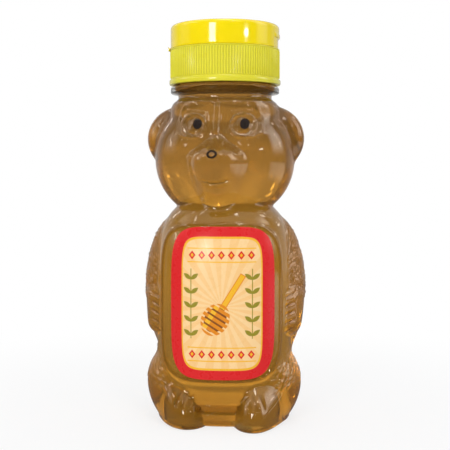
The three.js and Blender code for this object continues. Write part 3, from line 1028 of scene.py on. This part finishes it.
def makeLid():
    obj = pulledRing("lid_shell", lidProfile(), lid["columns"])
    closeEnds(obj, bridge=False)
    points = meshPoints(obj)
    # the thumb side is opposite the hinge
    turned = np.arctan2(points[:, 1], points[:, 0]) - cap["turn"]
    reach = fromAxis(points)
    across = reach * np.sin(turned)
    outer = (np.abs(reach - lid["radius"]) < 0.35) & (np.cos(turned) > 0)
    width = 1 - smoothStep(lid["thumbHalf"] - lid["thumbSoft"], lid["thumbHalf"], np.abs(across))
    up = points[:, 2] - lid["bottom"]
    lipLow, lipHigh = lid["thumbHeight"], lid["thumbHeight"] + lid["lipHeight"]
    recess = 1 - smoothStep(lipLow - lid["recessSoft"], lipLow, up)
    under, over, fade = lid["lipSoft"]
    lip = within(up, lipLow - under, lipLow + over, lipHigh - fade, lipHigh)
    shift = np.where(outer, width * (lid["lipReach"] * lip - lid["thumbDepth"] * recess), 0)
    points[:, :2] *= (1 + shift / np.maximum(reach, 1))[:, None]
    setPoints(obj, points)
    settle(obj, 40)
    return obj


capSkirt = makeCapBase()
print("cap base:", len(capSkirt.data.polygons), "faces")
lidShell = makeLid()
print("lid:", len(lidShell.data.polygons), "faces")


# Seal disc: a thin liner with pressed rings
seal = {
    "low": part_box("seal_disc")[0].z / mm,
    "high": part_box("seal_disc")[1].z / mm,
    "radius": 17.0,
    "columns": 128,
    "rings": 6,
    "firstRing": 2.2,
    "ringStep": 2.4,
    "ringHalf": 0.35,
    "ringDepth": 0.12,
    "edge": 0.12,
    "heart": 0.5,
}


def makeSeal():
    low, high, radius, edge = seal["low"], seal["high"], seal["radius"], seal["edge"]
    half, pressed = seal["ringHalf"], high - seal["ringDepth"]
    profile = [(seal["heart"], high)]
    for ring in range(seal["rings"]):
        at = seal["firstRing"] + seal["ringStep"] * ring
        profile += [(at - half, high), (at, pressed), (at + half, high)]
    profile += [(radius - edge, high), (radius, high - edge)]
    profile += [(radius, low + edge), (radius - edge, low), (seal["heart"], low)]
    obj = pulledRing("liner_disc", profile, seal["columns"])
    closeEnds(obj, bridge=False)
    settle(obj, 30)
    return obj


linerDisc = makeSeal()
print("liner:", len(linerDisc.data.polygons), "faces")


# Hinge: a folded film from the cap's edge to the lid's
hinge = {"width": 9.0, "film": 0.32, "fold": 0.48, "leg": 0.45, "steps": 20, "tuck": 0.4, "edge": 0.08}


def makeHinge():
    h = hinge
    clearSelection()
    bpy.ops.mesh.primitive_plane_add(size=1)
    obj = newPiece("hinge_film")
    flat = meshPoints(obj) * mm
    # the film's section at the end of its lower leg, with the fold's axis along Y at the origin
    section = [np.full(4, h["leg"]), flat[:, 0] * h["width"], flat[:, 1] * h["film"] - h["fold"]]
    setPoints(obj, np.stack(section, axis=1))
    makeActive(obj)
    bpy.ops.object.mode_set(mode="EDIT")
    bpy.ops.mesh.select_mode(type="FACE")
    bpy.ops.mesh.select_all(action="SELECT")
    bpy.ops.mesh.extrude_region_move(TRANSFORM_OT_translate={"value": (-h["leg"] * mm, 0, 0)})
    bpy.ops.mesh.spin(steps=h["steps"], angle=math.pi, center=(0, 0, 0), axis=(0, 1, 0))
    bpy.ops.mesh.extrude_region_move(TRANSFORM_OT_translate={"value": (h["leg"] * mm, 0, 0)})
    bpy.ops.object.mode_set(mode="OBJECT")
    settle(obj, 40)
    makeActive(obj)
    rounded = obj.modifiers.new("edges", "BEVEL")
    rounded.width = h["edge"] * mm
    rounded.segments = 2
    rounded.limit_method = "ANGLE"
    bpy.ops.object.modifier_apply(modifier="edges")
    # turned and moved to the hinge's axis, and a little in
    x, y, z = meshPoints(obj).T
    axis = np.array(joints["lid_hinge"]["pos_m"]) / mm
    c, s = math.cos(cap["turn"]), math.sin(cap["turn"])
    inwards = -h["tuck"] * axis / np.linalg.norm(axis[:2])
    setPoints(obj, np.stack([c * x - s * y, s * x + c * y, z], axis=1) + axis + inwards * [1, 1, 0])
    return obj


hingeFilm = makeHinge()
hingePoints = meshPoints(hingeFilm)
print("hinge film:", hingePoints.min(0).round(2), hingePoints.max(0).round(2))


# Small tools for materials
def newMaterial(name):
    material = bpy.data.materials.new(name)
    material.use_nodes = True
    nodes = material.node_tree.nodes
    return material, nodes, material.node_tree.links, nodes["Principled BSDF"]


def addNode(nodes, kind, **settings):
    node = nodes.new(kind)
    for key, value in settings.items():
        setattr(node, key, value)
    return node


def setSocket(links, socket, value):
    # a number, a colour or another node's output
    if isinstance(value, (int, float)):
        socket.default_value = value
    elif isinstance(value, tuple):
        socket.default_value = (*value, 1)
    else:
        links.new(value, socket)


def nodeMath(nodes, links, operation, *values):
    node = addNode(nodes, "ShaderNodeMath", operation=operation)
    for socket, value in zip(node.inputs, values):
        setSocket(links, socket, value)
    return node.outputs["Value"]


def ownPlace(nodes, links):
    # the piece's own coordinates, whole and by axis
    place = addNode(nodes, "ShaderNodeTexCoord").outputs["Object"]
    axes = addNode(nodes, "ShaderNodeSeparateXYZ")
    links.new(place, axes.inputs["Vector"])
    return place, [axes.outputs[name] for name in "XYZ"]


def noise(nodes, links, scale, detail=3.0):
    # noise on the piece's own coordinates, in cells per metre
    place = addNode(nodes, "ShaderNodeTexCoord")
    texture = addNode(nodes, "ShaderNodeTexNoise")
    texture.inputs["Scale"].default_value = scale
    texture.inputs["Detail"].default_value = detail
    links.new(place.outputs["Object"], texture.inputs["Vector"])
    return texture.outputs["Fac"]


noiseSpan = (0.3, 0.7)  # most of a noise's values lie between these


def spread(nodes, links, source, low, high):
    # a noise turned into a range of values
    ranged = addNode(nodes, "ShaderNodeMapRange")
    for name, value in zip(("From Min", "From Max", "To Min", "To Max"), (*noiseSpan, low, high)):
        ranged.inputs[name].default_value = value
    links.new(source, ranged.inputs["Value"])
    return ranged.outputs["Result"]


def tint(nodes, links, source, dark, light):
    # a noise turned into a colour between two
    ramp = addNode(nodes, "ShaderNodeValToRGB")
    for element, position, colour in zip(ramp.color_ramp.elements, noiseSpan, (dark, light)):
        element.position = position
        element.color = (*colour, 1)
    links.new(source, ramp.inputs["Fac"])
    return ramp.outputs["Color"]


def softRange(nodes, links, value, start, end, low=0.0, high=1.0):
    # low up to the start, high from the end, and a soft change between
    node = addNode(nodes, "ShaderNodeMapRange", interpolation_type="SMOOTHSTEP")
    for name, level in zip(("From Min", "From Max", "To Min", "To Max"), (start, end, low, high)):
        setSocket(links, node.inputs[name], level)
    links.new(value, node.inputs["Value"])
    return node.outputs["Result"]


def mixColours(nodes, links, share, under, over):
    mix = addNode(nodes, "ShaderNodeMix", data_type="RGBA")
    for socket, value in zip((mix.inputs["Factor"], mix.inputs[6], mix.inputs[7]), (share, under, over)):
        setSocket(links, socket, value)
    return mix.outputs[2]


def scaleColour(nodes, links, colour, share):
    node = addNode(nodes, "ShaderNodeVectorMath", operation="SCALE")
    links.new(colour, node.inputs["Vector"])
    links.new(share, node.inputs["Scale"])
    return node.outputs["Vector"]


def mixShaders(nodes, links, share, under, over):
    mix = addNode(nodes, "ShaderNodeMixShader")
    for socket, source in zip(mix.inputs, (share, under, over)):
        links.new(source, socket)
    return mix.outputs["Shader"]


def bump(nodes, links, shader, source, strength, depth):
    node = addNode(nodes, "ShaderNodeBump")
    node.inputs["Strength"].default_value = strength
    node.inputs["Distance"].default_value = depth * mm
    links.new(source, node.inputs["Height"])
    links.new(node.outputs["Normal"], shader.inputs["Normal"])


# Finishes of the bottle
clearLook = {
    "plain": (0.97, 0.965, 0.95),
    # painted shade: the clear plastic is darker along the moulded lines
    "paintedLineShade": (0.6, 0.5, 0.34),  # moulded lines lead light away and look darker
    "rough": (0.015, 0.05),
    "shadow": (0.96, 0.95, 0.93),
    "lining": ((0.985, 0.98, 0.97), (1, 1, 1)),
}


def wetLining():
    # the lining under the fill bends no light, because honey and plastic bend it alike
    material, nodes, links, shader = newMaterial("wetLining")
    passing = addNode(nodes, "ShaderNodeBsdfTransparent")
    links.new(tint(nodes, links, noise(nodes, links, 60), *clearLook["lining"]), passing.inputs["Color"])
    links.new(passing.outputs["BSDF"], nodes["Material Output"].inputs["Surface"])
    nodes.remove(shader)
    return material


def clearPlastic(name, bending):
    material, nodes, links, shader = newMaterial(name)
    # the clear plastic's colour is darkened as painted shade along the moulded lines
    paintedLineShade = addNode(nodes, "ShaderNodeAttribute", attribute_name="paintedLineShade").outputs["Fac"]
    colour = mixColours(nodes, links, paintedLineShade, clearLook["plain"], clearLook["paintedLineShade"])
    links.new(colour, shader.inputs["Base Color"])
    shader.inputs["Transmission Weight"].default_value = 1
    shader.inputs["IOR"].default_value = bending
    rough = spread(nodes, links, noise(nodes, links, 90), *clearLook["rough"])
    links.new(rough, shader.inputs["Roughness"])
    bump(nodes, links, shader, noise(nodes, links, 160, 2), 0.06, 0.3)
    # lamps shine through to the honey
    passing = addNode(nodes, "ShaderNodeBsdfTransparent")
    passing.inputs["Color"].default_value = (*clearLook["shadow"], 1)
    path = addNode(nodes, "ShaderNodeLightPath")
    seen = mixShaders(
        nodes, links, path.outputs["Is Shadow Ray"], shader.outputs["BSDF"], passing.outputs["BSDF"]
    )
    links.new(seen, nodes["Material Output"].inputs["Surface"])
    return material


# The honey's look, with heights and distances in millimetres
honeyLook = {
    "low": ((0.465, 0.226, 0.027), (0.525, 0.26, 0.035)),
    "body": ((0.455, 0.25, 0.034), (0.515, 0.287, 0.044)),
    "head": ((0.47, 0.245, 0.054), (0.53, 0.28, 0.066)),
    "bodyFrom": (2, 22),
    "headFrom": (70, 100),
    # painted light and shade on the fill: paler on the body and darker on the head under the cap, darker
    # towards the bottom, and paler at the sides; start, end, and the colour's share at each
    "paintedLightShadeUp": (62, 98, 1.5, 0.82),
    "paintedShadeDown": (3, 20, 0.66, 1.0),
    "paintedLightAside": (19, 27, 1.0, 1.3),
    "thrownBack": (0.95, 0.86, 0.62),
    "firstCrossings": 2.5,
    "clearness": 0.82,
    "rough": (0.05, 0.1),
    "passes": (0.768, 0.596, 0.132),
    "density": 16,
}


def amberHoney():
    h = honeyLook
    material, nodes, links, shader = newMaterial("amberHoney")
    cloud = noise(nodes, links, 45, 2)
    _, (x, _, z) = ownPlace(nodes, links)
    colour = tint(nodes, links, cloud, *h["low"])
    for area in ("body", "head"):
        start, end = h[area + "From"]
        share = softRange(nodes, links, z, start * mm, end * mm)
        colour = mixColours(nodes, links, share, colour, tint(nodes, links, cloud, *h[area]))
    beside = nodeMath(nodes, links, "ABSOLUTE", x)
    # painted light and shade, scaling the colour by height and to the sides
    for source, key in ((z, "paintedLightShadeUp"), (z, "paintedShadeDown"), (beside, "paintedLightAside")):
        start, end, first, last = h[key]
        share = softRange(nodes, links, source, start * mm, end * mm, first, last)
        colour = scaleColour(nodes, links, colour, share)
    # light that is thrown back inside has its tint already, and only loses by the length of its way
    path = addNode(nodes, "ShaderNodeLightPath")
    later = nodeMath(nodes, links, "GREATER_THAN", path.outputs["Transmission Depth"], h["firstCrossings"])
    links.new(mixColours(nodes, links, later, colour, h["thrownBack"]), shader.inputs["Base Color"])
    shader.inputs["Transmission Weight"].default_value = h["clearness"]
    shader.inputs["IOR"].default_value = 1.0
    links.new(spread(nodes, links, noise(nodes, links, 70), *h["rough"]), shader.inputs["Roughness"])
    deep = addNode(nodes, "ShaderNodeVolumeAbsorption")
    deep.inputs["Color"].default_value = (*h["passes"], 1)
    deep.inputs["Density"].default_value = h["density"]
    links.new(deep.outputs["Volume"], nodes["Material Output"].inputs["Volume"])
    return material


# Finishes of the cap, the liner and the ink
# painted shade between the ribs and painted light on their crests
ribLightAndShade = {"valley": 0.83, "crest": 0.3}  # the colour's share between the ribs, and what a crest adds


def yellowPlastic(name, dark, light, rough, coat, paintRibShade=False):
    material, nodes, links, shader = newMaterial(name)
    colour = tint(nodes, links, noise(nodes, links, 120), dark, light)
    if paintRibShade:
        # painted light on the crests of the ribs and painted shade between them
        crest = addNode(nodes, "ShaderNodeAttribute", attribute_name="crest").outputs["Fac"]
        share = nodeMath(nodes, links, "MULTIPLY_ADD", crest, ribLightAndShade["crest"], ribLightAndShade["valley"])
        colour = scaleColour(nodes, links, colour, share)
    links.new(colour, shader.inputs["Base Color"])
    grain = spread(nodes, links, noise(nodes, links, 260), rough - 0.04, rough + 0.05)
    links.new(grain, shader.inputs["Roughness"])
    shader.inputs["Coat Weight"].default_value = coat
    shader.inputs["Coat Roughness"].default_value = 0.03
    shader.inputs["Specular IOR Level"].default_value = 0.2
    shader.inputs["Subsurface Weight"].default_value = 0.15
    shader.inputs["Subsurface Radius"].default_value = (1.0, 0.8, 0.2)
    shader.inputs["Subsurface Scale"].default_value = 0.6 * mm
    bump(nodes, links, shader, noise(nodes, links, 900, 2), 0.05, 0.1)
    return material


def linerFoam():
    material, nodes, links, shader = newMaterial("linerFoam")
    colour = tint(nodes, links, noise(nodes, links, 700), (0.72, 0.70, 0.64), (0.8, 0.78, 0.73))
    links.new(colour, shader.inputs["Base Color"])
    shader.inputs["Roughness"].default_value = 0.6
    bump(nodes, links, shader, noise(nodes, links, 2400), 0.3, 0.06)
    return material


def faceInk():
    material, nodes, links, shader = newMaterial("faceInk")
    colour = tint(nodes, links, noise(nodes, links, 1500), (0.008, 0.005, 0.004), (0.03, 0.02, 0.016))
    links.new(colour, shader.inputs["Base Color"])
    links.new(spread(nodes, links, noise(nodes, links, 900), 0.4, 0.6), shader.inputs["Roughness"])
    shader.inputs["Specular IOR Level"].default_value = 0.1
    return material


# The label's print: flat inks by position on the belly, in millimetres from the label's middle
labelPrint = {
    "red": (0.70, 0.014, 0.016),
    "cream": (0.90, 0.56, 0.23),
    "glow": (0.94, 0.68, 0.36),
    "gold": (0.88, 0.46, 0.02),
    "amber": (0.74, 0.24, 0.008),
    "brown": (0.24, 0.075, 0.01),
    "leaf": (0.30, 0.25, 0.02),
    "soft": 0.1,  # width of an ink's edge
    "panelHalf": (14.4, 23.7),
    "panelSquareness": 7,
    "keyline": 0.45,
    "rays": 24,
    "rayMiddle": -1,
    "rayGlow": 0.5,
}
dipper = {
    "lean": math.radians(58),
    "middle": (-2.2, -5.6),
    "stemHalf": 0.8,
    "stemMiddle": 11,
    "stemReach": 7.5,
    "stemEdge": 0.3,
    "knob": (4.9, 6.0),
    "core": 1.1,  # how far the core lies under the knob's edge
    "grooveStep": 0.95,
    "groove": 0.62,
    "shineAt": 1.9,
    "shineHalf": 0.9,
    "shineIn": 0.5,
}
sprig = {
    "side": 10.9,
    "half": 12.4,
    "stalk": 0.16,
    "step": 5.0,
    "leafSide": 1.25,
    "leafDrop": 0.4,
    "leafTilt": 52,
    "leafHalf": (1.75, 0.75),
}
diamonds = {
    "levels": (17.2, -18.0),
    "step": 3.5,
    "flat": 0.8,
    "half": 1.25,
    "heart": 0.65,
    "bandHalf": 12.2,
    "ruleGap": 2.4,
    "ruleHalf": 0.2,
}


def printedPaper():
    p = labelPrint
    material, nodes, links, shader = newMaterial("printedPaper")

    def calc(operation, *values):
        return nodeMath(nodes, links, operation, *values)

    def plus(a, b):
        return calc("ADD", a, b)

    def minus(a, b):
        return calc("SUBTRACT", a, b)

    def times(a, b):
        return calc("MULTIPLY", a, b)

    def apart(a, b):
        # the distance between two values
        return calc("ABSOLUTE", minus(a, b))

    def inBoth(a, b):
        # the part that two shapes share
        return calc("MAXIMUM", a, b)

    def squared(a, size):
        return calc("POWER", calc("DIVIDE", a, size), 2)

    def turned(a, b, angle):
        # along and across a direction
        along = plus(times(a, math.cos(angle)), times(b, math.sin(angle)))
        return along, minus(times(b, math.cos(angle)), times(a, math.sin(angle)))

    def printed(under, inkName, gap):
        # an ink where a signed distance in millimetres is below 0
        edge = calc("MINIMUM", 0.5, calc("MAXIMUM", -0.5, calc("DIVIDE", gap, p["soft"])))
        return mixColours(nodes, links, minus(0.5, edge), under, p[inkName])

    _, (worldX, _, worldZ) = ownPlace(nodes, links)
    x = minus(calc("DIVIDE", worldX, mm), label["middle"][0])
    z = minus(calc("DIVIDE", worldZ, mm), label["middle"][1])
    side = calc("ABSOLUTE", x)
    # rays of a paler cream spread from the middle
    angle = calc("ARCTAN2", minus(z, p["rayMiddle"]), x)
    ray = calc("DIVIDE", calc("SINE", times(angle, p["rays"])), p["soft"])
    ray = minus(0.5, calc("MINIMUM", 0.5, calc("MAXIMUM", -0.5, ray)))
    colour = mixColours(nodes, links, times(ray, p["rayGlow"]), p["cream"], p["glow"])
    # a dipper that leans to the right: a handle and a turned head with grooves
    d = dipper
    along, over = turned(minus(x, d["middle"][0]), minus(z, d["middle"][1]), d["lean"])
    stem = minus(calc("ABSOLUTE", over), d["stemHalf"])
    stem = inBoth(stem, minus(apart(along, d["stemMiddle"]), d["stemReach"]))
    knob = calc("SQRT", plus(squared(over, d["knob"][0]), squared(along, d["knob"][1])))
    knob = times(minus(knob, 1), d["knob"][0])
    colour = printed(colour, "amber", minus(stem, d["stemEdge"]))
    colour = printed(colour, "gold", stem)
    colour = printed(colour, "brown", plus(knob, d["core"]))
    groove = minus(calc("PINGPONG", along, d["grooveStep"]), d["groove"])
    colour = printed(colour, "amber", inBoth(knob, groove))
    shine = minus(apart(over, d["shineAt"]), d["shineHalf"])
    colour = printed(colour, "gold", inBoth(inBoth(plus(knob, d["shineIn"]), groove), shine))
    # a sprig up each side, with a pair of leaves to each step
    s = sprig
    rise = minus(calc("FLOORED_MODULO", plus(z, 2.5 * s["step"]), s["step"]), s["step"] / 2)
    inSprig = minus(calc("ABSOLUTE", z), s["half"])
    colour = printed(colour, "leaf", inBoth(minus(apart(side, s["side"]), s["stalk"]), inSprig))
    for way in both:
        tilt = math.radians(90 - s["leafTilt"] * way)
        fromLeaf = minus(side, s["side"] + s["leafSide"] * way)
        down, aside = turned(fromLeaf, plus(rise, s["leafDrop"]), tilt)
        bow = minus(1, squared(down, s["leafHalf"][0]))
        leaf = minus(calc("ABSOLUTE", aside), times(bow, s["leafHalf"][1]))
        colour = printed(colour, "leaf", inBoth(leaf, inSprig))
    # bands of diamonds over and under
    b = diamonds
    inBand = minus(side, b["bandHalf"])
    across = apart(calc("FLOORED_MODULO", plus(x, b["step"] / 2), b["step"]), b["step"] / 2)
    for level in b["levels"]:
        up = apart(z, level)
        diamond = minus(plus(across, times(up, b["flat"])), b["half"])
        colour = printed(colour, "red", inBoth(diamond, inBand))
        colour = printed(colour, "gold", inBoth(plus(diamond, b["heart"]), inBand))
        colour = printed(colour, "gold", inBoth(minus(apart(up, b["ruleGap"]), b["ruleHalf"]), inBand))
    # keyline and border
    power, (halfWidth, halfHeight) = p["panelSquareness"], p["panelHalf"]
    u = calc("POWER", calc("DIVIDE", side, halfWidth), power)
    v = calc("POWER", calc("DIVIDE", calc("ABSOLUTE", z), halfHeight), power)
    panelGap = times(minus(calc("POWER", plus(u, v), 1 / power), 1), halfWidth)
    half = p["keyline"] / 2
    colour = printed(colour, "gold", minus(calc("ABSOLUTE", plus(panelGap, half)), half))
    colour = printed(colour, "red", times(panelGap, -1))
    links.new(colour, shader.inputs["Base Color"])
    links.new(spread(nodes, links, noise(nodes, links, 400), 0.24, 0.34), shader.inputs["Roughness"])
    shader.inputs["Specular IOR Level"].default_value = 0.3
    shader.inputs["Coat Weight"].default_value = 0.15
    shader.inputs["Coat Roughness"].default_value = 0.25
    bump(nodes, links, shader, noise(nodes, links, 1800), 0.08, 0.05)
    return material


skirtColours = ((0.68, 0.62, 0.03), (0.73, 0.67, 0.045))
lidColours = ((0.88, 0.68, 0.003), (0.92, 0.72, 0.005))
finishes = {
    "clear": clearPlastic("clearPlastic", 1.55),
    "lining": wetLining(),
    "ring": clearPlastic("clearRing", 1.2),  # so that the white behind it shows at its ends
    "honey": amberHoney(),
    "skirt": yellowPlastic("skirtYellow", *skirtColours, 0.3, 0.1, True),
    "rim": yellowPlastic("rimYellow", *skirtColours, 0.2, 0.6),
    "lid": yellowPlastic("lidYellow", *lidColours, 0.12, 0.7),
    "liner": linerFoam(),
    "paper": printedPaper(),
    "ink": faceInk(),
}
print("materials:", sorted(finishes))

# Each piece: its finishes, the body that it rides on, the node that it stands for and the record's slot
parts = [
    (bottleShell, ("clear", "lining", "ring"), "bottle_body", "bottle", "clear_pet"),
    (honeyFill, "honey", "bottle_body", "honey", "amber_honey"),
    (bellyLabel, "paper", "bottle_body", "front_label", "label_print"),
    (inkPieces[0], "ink", "bottle_body", "left_eye_print", "face_ink"),
    (inkPieces[1], "ink", "bottle_body", "right_eye_print", "face_ink"),
    (inkPieces[2], "ink", "bottle_body", "nose_print", "face_ink"),
    (linerDisc, "liner", "seal_body", "seal_disc", "liner_white"),
    (capSkirt, ("skirt", "rim"), "cap_body", "cap_base", "cap_yellow"),
    (lidShell, "lid", "lid_body", "flip_lid", "lid_yellow"),
    (hingeFilm, "lid", None, "living_hinge", "lid_yellow"),
]
for piece, finish, body, node, slot in parts:
    if isinstance(finish, tuple):
        for index, name in enumerate(finish):
            piece.data.materials[index] = finishes[name]
    else:
        piece.data.materials.clear()
        piece.data.materials.append(finishes[finish])
    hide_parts(node)
    if body:
        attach(piece, body)
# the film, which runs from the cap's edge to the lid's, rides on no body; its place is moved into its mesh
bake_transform(hingeFilm)
print("pieces placed:", len(parts))


# Studio: a white floor, soft lamps and the camera of the photograph.
# Gloss, clear pieces and the camera each see a room of their own brightness.
studio = {
    "azimuth": math.radians(4.5),
    "distance": 370.0,
    "eye": 92.0,
    "focal": 984.0,  # in pixels of a frame 450 wide
    "frame": 450.0,
    "horizon": 53.3,  # pixels from the middle of the frame up to the horizon
    "target": 75.0,  # height that the lamps point at
    "skyLight": 0.75,
    "skyColour": (0.97, 0.98, 1.0),
}
floorLook = {
    "half": 3.0,
    "colour": (0.88, 0.88, 0.88),
    "fade": (60.0, 220.0),  # the floor's shading fades to plain white between these
    "paperGlow": 0.75,
    "inGloss": 0.15,
    "inClear": (0.25, 0.5),  # near the object and far behind it
    "nearFar": (0.1, 1.0),  # metres over which it changes from its near to its far brightness
    "right": 1.2,  # a bright stretch at the right, in gloss only
    "rightWidth": (0.9, 0.97),  # share of the way straight to the right over which that begins
    "rightReach": (0.12, 0.3),  # metres from the object over which that begins
    "rightEnd": (1.8, 0.6),  # and over which it ends, from its far side
}
# the room by direction: shares of the way to a side, straight back or straight up
room = {
    "inGloss": 0.05,
    "backInGloss": 0.6,
    "back": (0.1, 0.7),
    "skyInGloss": 0.7,
    "sky": (0.55, 0.85),
    "inClear": (0.45, 1.0),  # dim and bright patches
    "patchScale": 2.6,
    "patchDetail": 1.5,
    "patch": (0.36, 0.62),
    "sideInClear": 1.2,
    "side": (0.4, 0.8),
    "overHorizon": (0.0, 0.35),
    "window": 2.0,
    "windowAside": (0.94, 0.998),
    "windowLow": (0.0, 0.3),
    "windowHigh": (0.85, 0.6),
    "windowRight": 0.5,  # how much more of that comes from the right than from the left
    "spots": 3.8,  # small bright things
    "spotScale": 5.5,
    "spot": (0.62, 0.68),
    "spotLow": (0.18, 0.26),
}
lamps = [
    # name, degrees round from the camera, degrees up, distance, width, height, brightness
    ("windowLamp", -26, 10.5, 0.9, 0.2, 0.2, 16.0),
    ("smallLamp", 45, 12, 0.9, 0.13, 0.008, 45.0),
    ("highLamp", 22, 52, 0.9, 0.1, 0.1, 18.0),
    ("ceilingLamp", 10, 80, 0.9, 0.25, 0.2, 8.0),
]


def makeFloor():
    # pale paper that runs out into the white background
    f = floorLook
    clearSelection()
    bpy.ops.mesh.primitive_plane_add(size=2 * f["half"])
    floor = newPiece("studio_floor")
    material, nodes, links, shader = newMaterial("paleFloor")
    shader.inputs["Base Color"].default_value = (*f["colour"], 1)
    shader.inputs["Roughness"].default_value = 0.9
    shader.inputs["Specular IOR Level"].default_value = 0.1

    def calc(operation, *values):
        return nodeMath(nodes, links, operation, *values)

    def soft(value, span, *levels):
        return softRange(nodes, links, value, *span, *levels)

    place, (x, y, _) = ownPlace(nodes, links)
    reach = addNode(nodes, "ShaderNodeVectorMath", operation="LENGTH")
    links.new(place, reach.inputs[0])
    distance = reach.outputs["Value"]
    fadeStart, fadeEnd = f["fade"]
    fade = soft(distance, (fadeStart * mm, fadeEnd * mm), f["paperGlow"])
    # the camera sees white paper, and gloss and clear pieces see a dimmer one
    path = addNode(nodes, "ShaderNodeLightPath").outputs
    behind = soft(calc("DIVIDE", y, distance), room["back"], room["inGloss"], room["backInGloss"])
    glossView = soft(distance, f["nearFar"], f["inGloss"], behind)
    right = f["right"]
    sideways = calc("DIVIDE", x, distance)
    for source, key in ((sideways, "rightWidth"), (distance, "rightReach"), (distance, "rightEnd")):
        right = calc("MULTIPLY", soft(source, f[key]), right)
    glossView = calc("MAXIMUM", glossView, right)
    clearView = soft(distance, f["nearFar"], *f["inClear"])
    glow = calc("MULTIPLY", path["Is Glossy Ray"], glossView)
    glow = calc("MULTIPLY_ADD", path["Is Transmission Ray"], clearView, glow)
    glow = calc("ADD", path["Is Camera Ray"], glow)
    shown = calc("MULTIPLY", path["Is Camera Ray"], fade)
    for kind in ("Is Glossy Ray", "Is Transmission Ray"):
        shown = calc("MAXIMUM", shown, path[kind])
    white = addNode(nodes, "ShaderNodeEmission")
    links.new(glow, white.inputs["Strength"])
    seen = mixShaders(nodes, links, shown, shader.outputs["BSDF"], white.outputs["Emission"])
    links.new(seen, nodes["Material Output"].inputs["Surface"])
    floor.data.materials.append(material)


def makeWorld():
    # white to the camera; a patchy room to clear pieces; a dark room with windows to gloss
    r = room
    world = bpy.data.worlds.new("studioWorld")
    bpy.context.scene.world = world
    world.use_nodes = True
    nodes, links = world.node_tree.nodes, world.node_tree.links
    nodes.clear()

    def calc(operation, *values):
        return nodeMath(nodes, links, operation, *values)

    def soft(value, span):
        return softRange(nodes, links, value, *span)

    place = nodes.new("ShaderNodeTexCoord").outputs["Generated"]

    def roomNoise(scale, detail):
        texture = addNode(nodes, "ShaderNodeTexNoise")
        texture.inputs["Scale"].default_value = scale
        texture.inputs["Detail"].default_value = detail
        links.new(place, texture.inputs["Vector"])
        return texture.outputs["Fac"]

    axes = nodes.new("ShaderNodeSeparateXYZ")
    links.new(place, axes.inputs["Vector"])
    x, y, z = (axes.outputs[name] for name in "XYZ")
    level = calc("SQRT", calc("ADD", calc("MULTIPLY", x, x), calc("MULTIPLY", y, y)))
    # what clear pieces see, which at the horizon is as bright as the far floor
    dim, bright = r["inClear"]
    patches = soft(roomNoise(r["patchScale"], r["patchDetail"]), r["patch"])
    clearView = calc("MULTIPLY_ADD", patches, bright - dim, dim)
    beside = calc("MULTIPLY", soft(calc("ABSOLUTE", x), r["side"]), r["sideInClear"])
    clearView = calc("MAXIMUM", clearView, beside)
    horizon = floorLook["inClear"][1]
    overHorizon = soft(z, r["overHorizon"])
    clearView = calc("MULTIPLY_ADD", overHorizon, calc("SUBTRACT", clearView, horizon), horizon)
    # what gloss sees
    sideways = soft(calc("DIVIDE", calc("ABSOLUTE", x), level), r["windowAside"])
    upright = calc("MULTIPLY", soft(z, r["windowLow"]), soft(z, r["windowHigh"]))
    window = calc("MULTIPLY", sideways, upright)
    window = calc("MULTIPLY", window, calc("MULTIPLY_ADD", x, r["windowRight"], 1))
    behind = calc("MULTIPLY", soft(calc("DIVIDE", y, level), r["back"]), r["backInGloss"])
    above = calc("MULTIPLY", soft(z, r["sky"]), r["skyInGloss"])
    glossView = calc("MAXIMUM", calc("MAXIMUM", behind, above), r["inGloss"])
    glossView = calc("MULTIPLY_ADD", window, r["window"], glossView)
    spots = calc("MULTIPLY", soft(roomNoise(r["spotScale"], 2.0), r["spot"]), soft(z, r["spotLow"]))
    glossView = calc("MULTIPLY_ADD", spots, r["spots"], glossView)
    path = nodes.new("ShaderNodeLightPath").outputs
    strength = calc("MULTIPLY", path["Is Glossy Ray"], glossView)
    strength = calc("MULTIPLY_ADD", path["Is Transmission Ray"], clearView, strength)
    strength = calc("MAXIMUM", path["Is Camera Ray"], strength)
    shown = calc("MAXIMUM", path["Is Glossy Ray"], path["Is Transmission Ray"])
    shown = calc("MAXIMUM", path["Is Camera Ray"], shown)
    seen = nodes.new("ShaderNodeBackground")
    seen.inputs["Color"].default_value = (1, 1, 1, 1)
    links.new(strength, seen.inputs["Strength"])
    lighting = nodes.new("ShaderNodeBackground")
    lighting.inputs["Color"].default_value = (*studio["skyColour"], 1)
    lighting.inputs["Strength"].default_value = studio["skyLight"]
    out = nodes.new("ShaderNodeOutputWorld")
    sky = mixShaders(nodes, links, shown, lighting.outputs["Background"], seen.outputs["Background"])
    links.new(sky, out.inputs["Surface"])


def makeLamps():
    target = np.array([0, 0, studio["target"]]) * mm
    for name, around, up, distance, width, height, brightness in lamps:
        light = bpy.data.lights.new(name, "AREA")
        light.shape = "RECTANGLE"
        light.size, light.size_y = width, height
        light.energy = brightness * math.pi * width * height
        lamp = bpy.data.objects.new(name, light)
        bpy.context.scene.collection.objects.link(lamp)
        a, e = studio["azimuth"] + math.radians(around), math.radians(up)
        away = np.array([math.sin(a) * math.cos(e), -math.cos(a) * math.cos(e), math.sin(e)])
        lamp.location = target + distance * away
        lamp.rotation_euler = (math.pi / 2 - e, 0, a)


def makeCamera():
    s = studio
    camera = bpy.data.objects.new("photoCamera", bpy.data.cameras.new("photoCamera"))
    bpy.context.scene.collection.objects.link(camera)
    camera.data.sensor_width = 36
    camera.data.lens = s["focal"] / s["frame"] * camera.data.sensor_width
    camera.data.clip_start = 0.01
    away = s["distance"] * mm
    camera.location = (away * math.sin(s["azimuth"]), -away * math.cos(s["azimuth"]), s["eye"] * mm)
    camera.rotation_euler = (math.pi / 2 - math.atan(s["horizon"] / s["focal"]), 0, s["azimuth"])
    bpy.context.scene.camera = camera


makeFloor()
makeWorld()
makeLamps()
makeCamera()
bpy.context.scene.view_settings.view_transform = "Standard"
print("studio set")
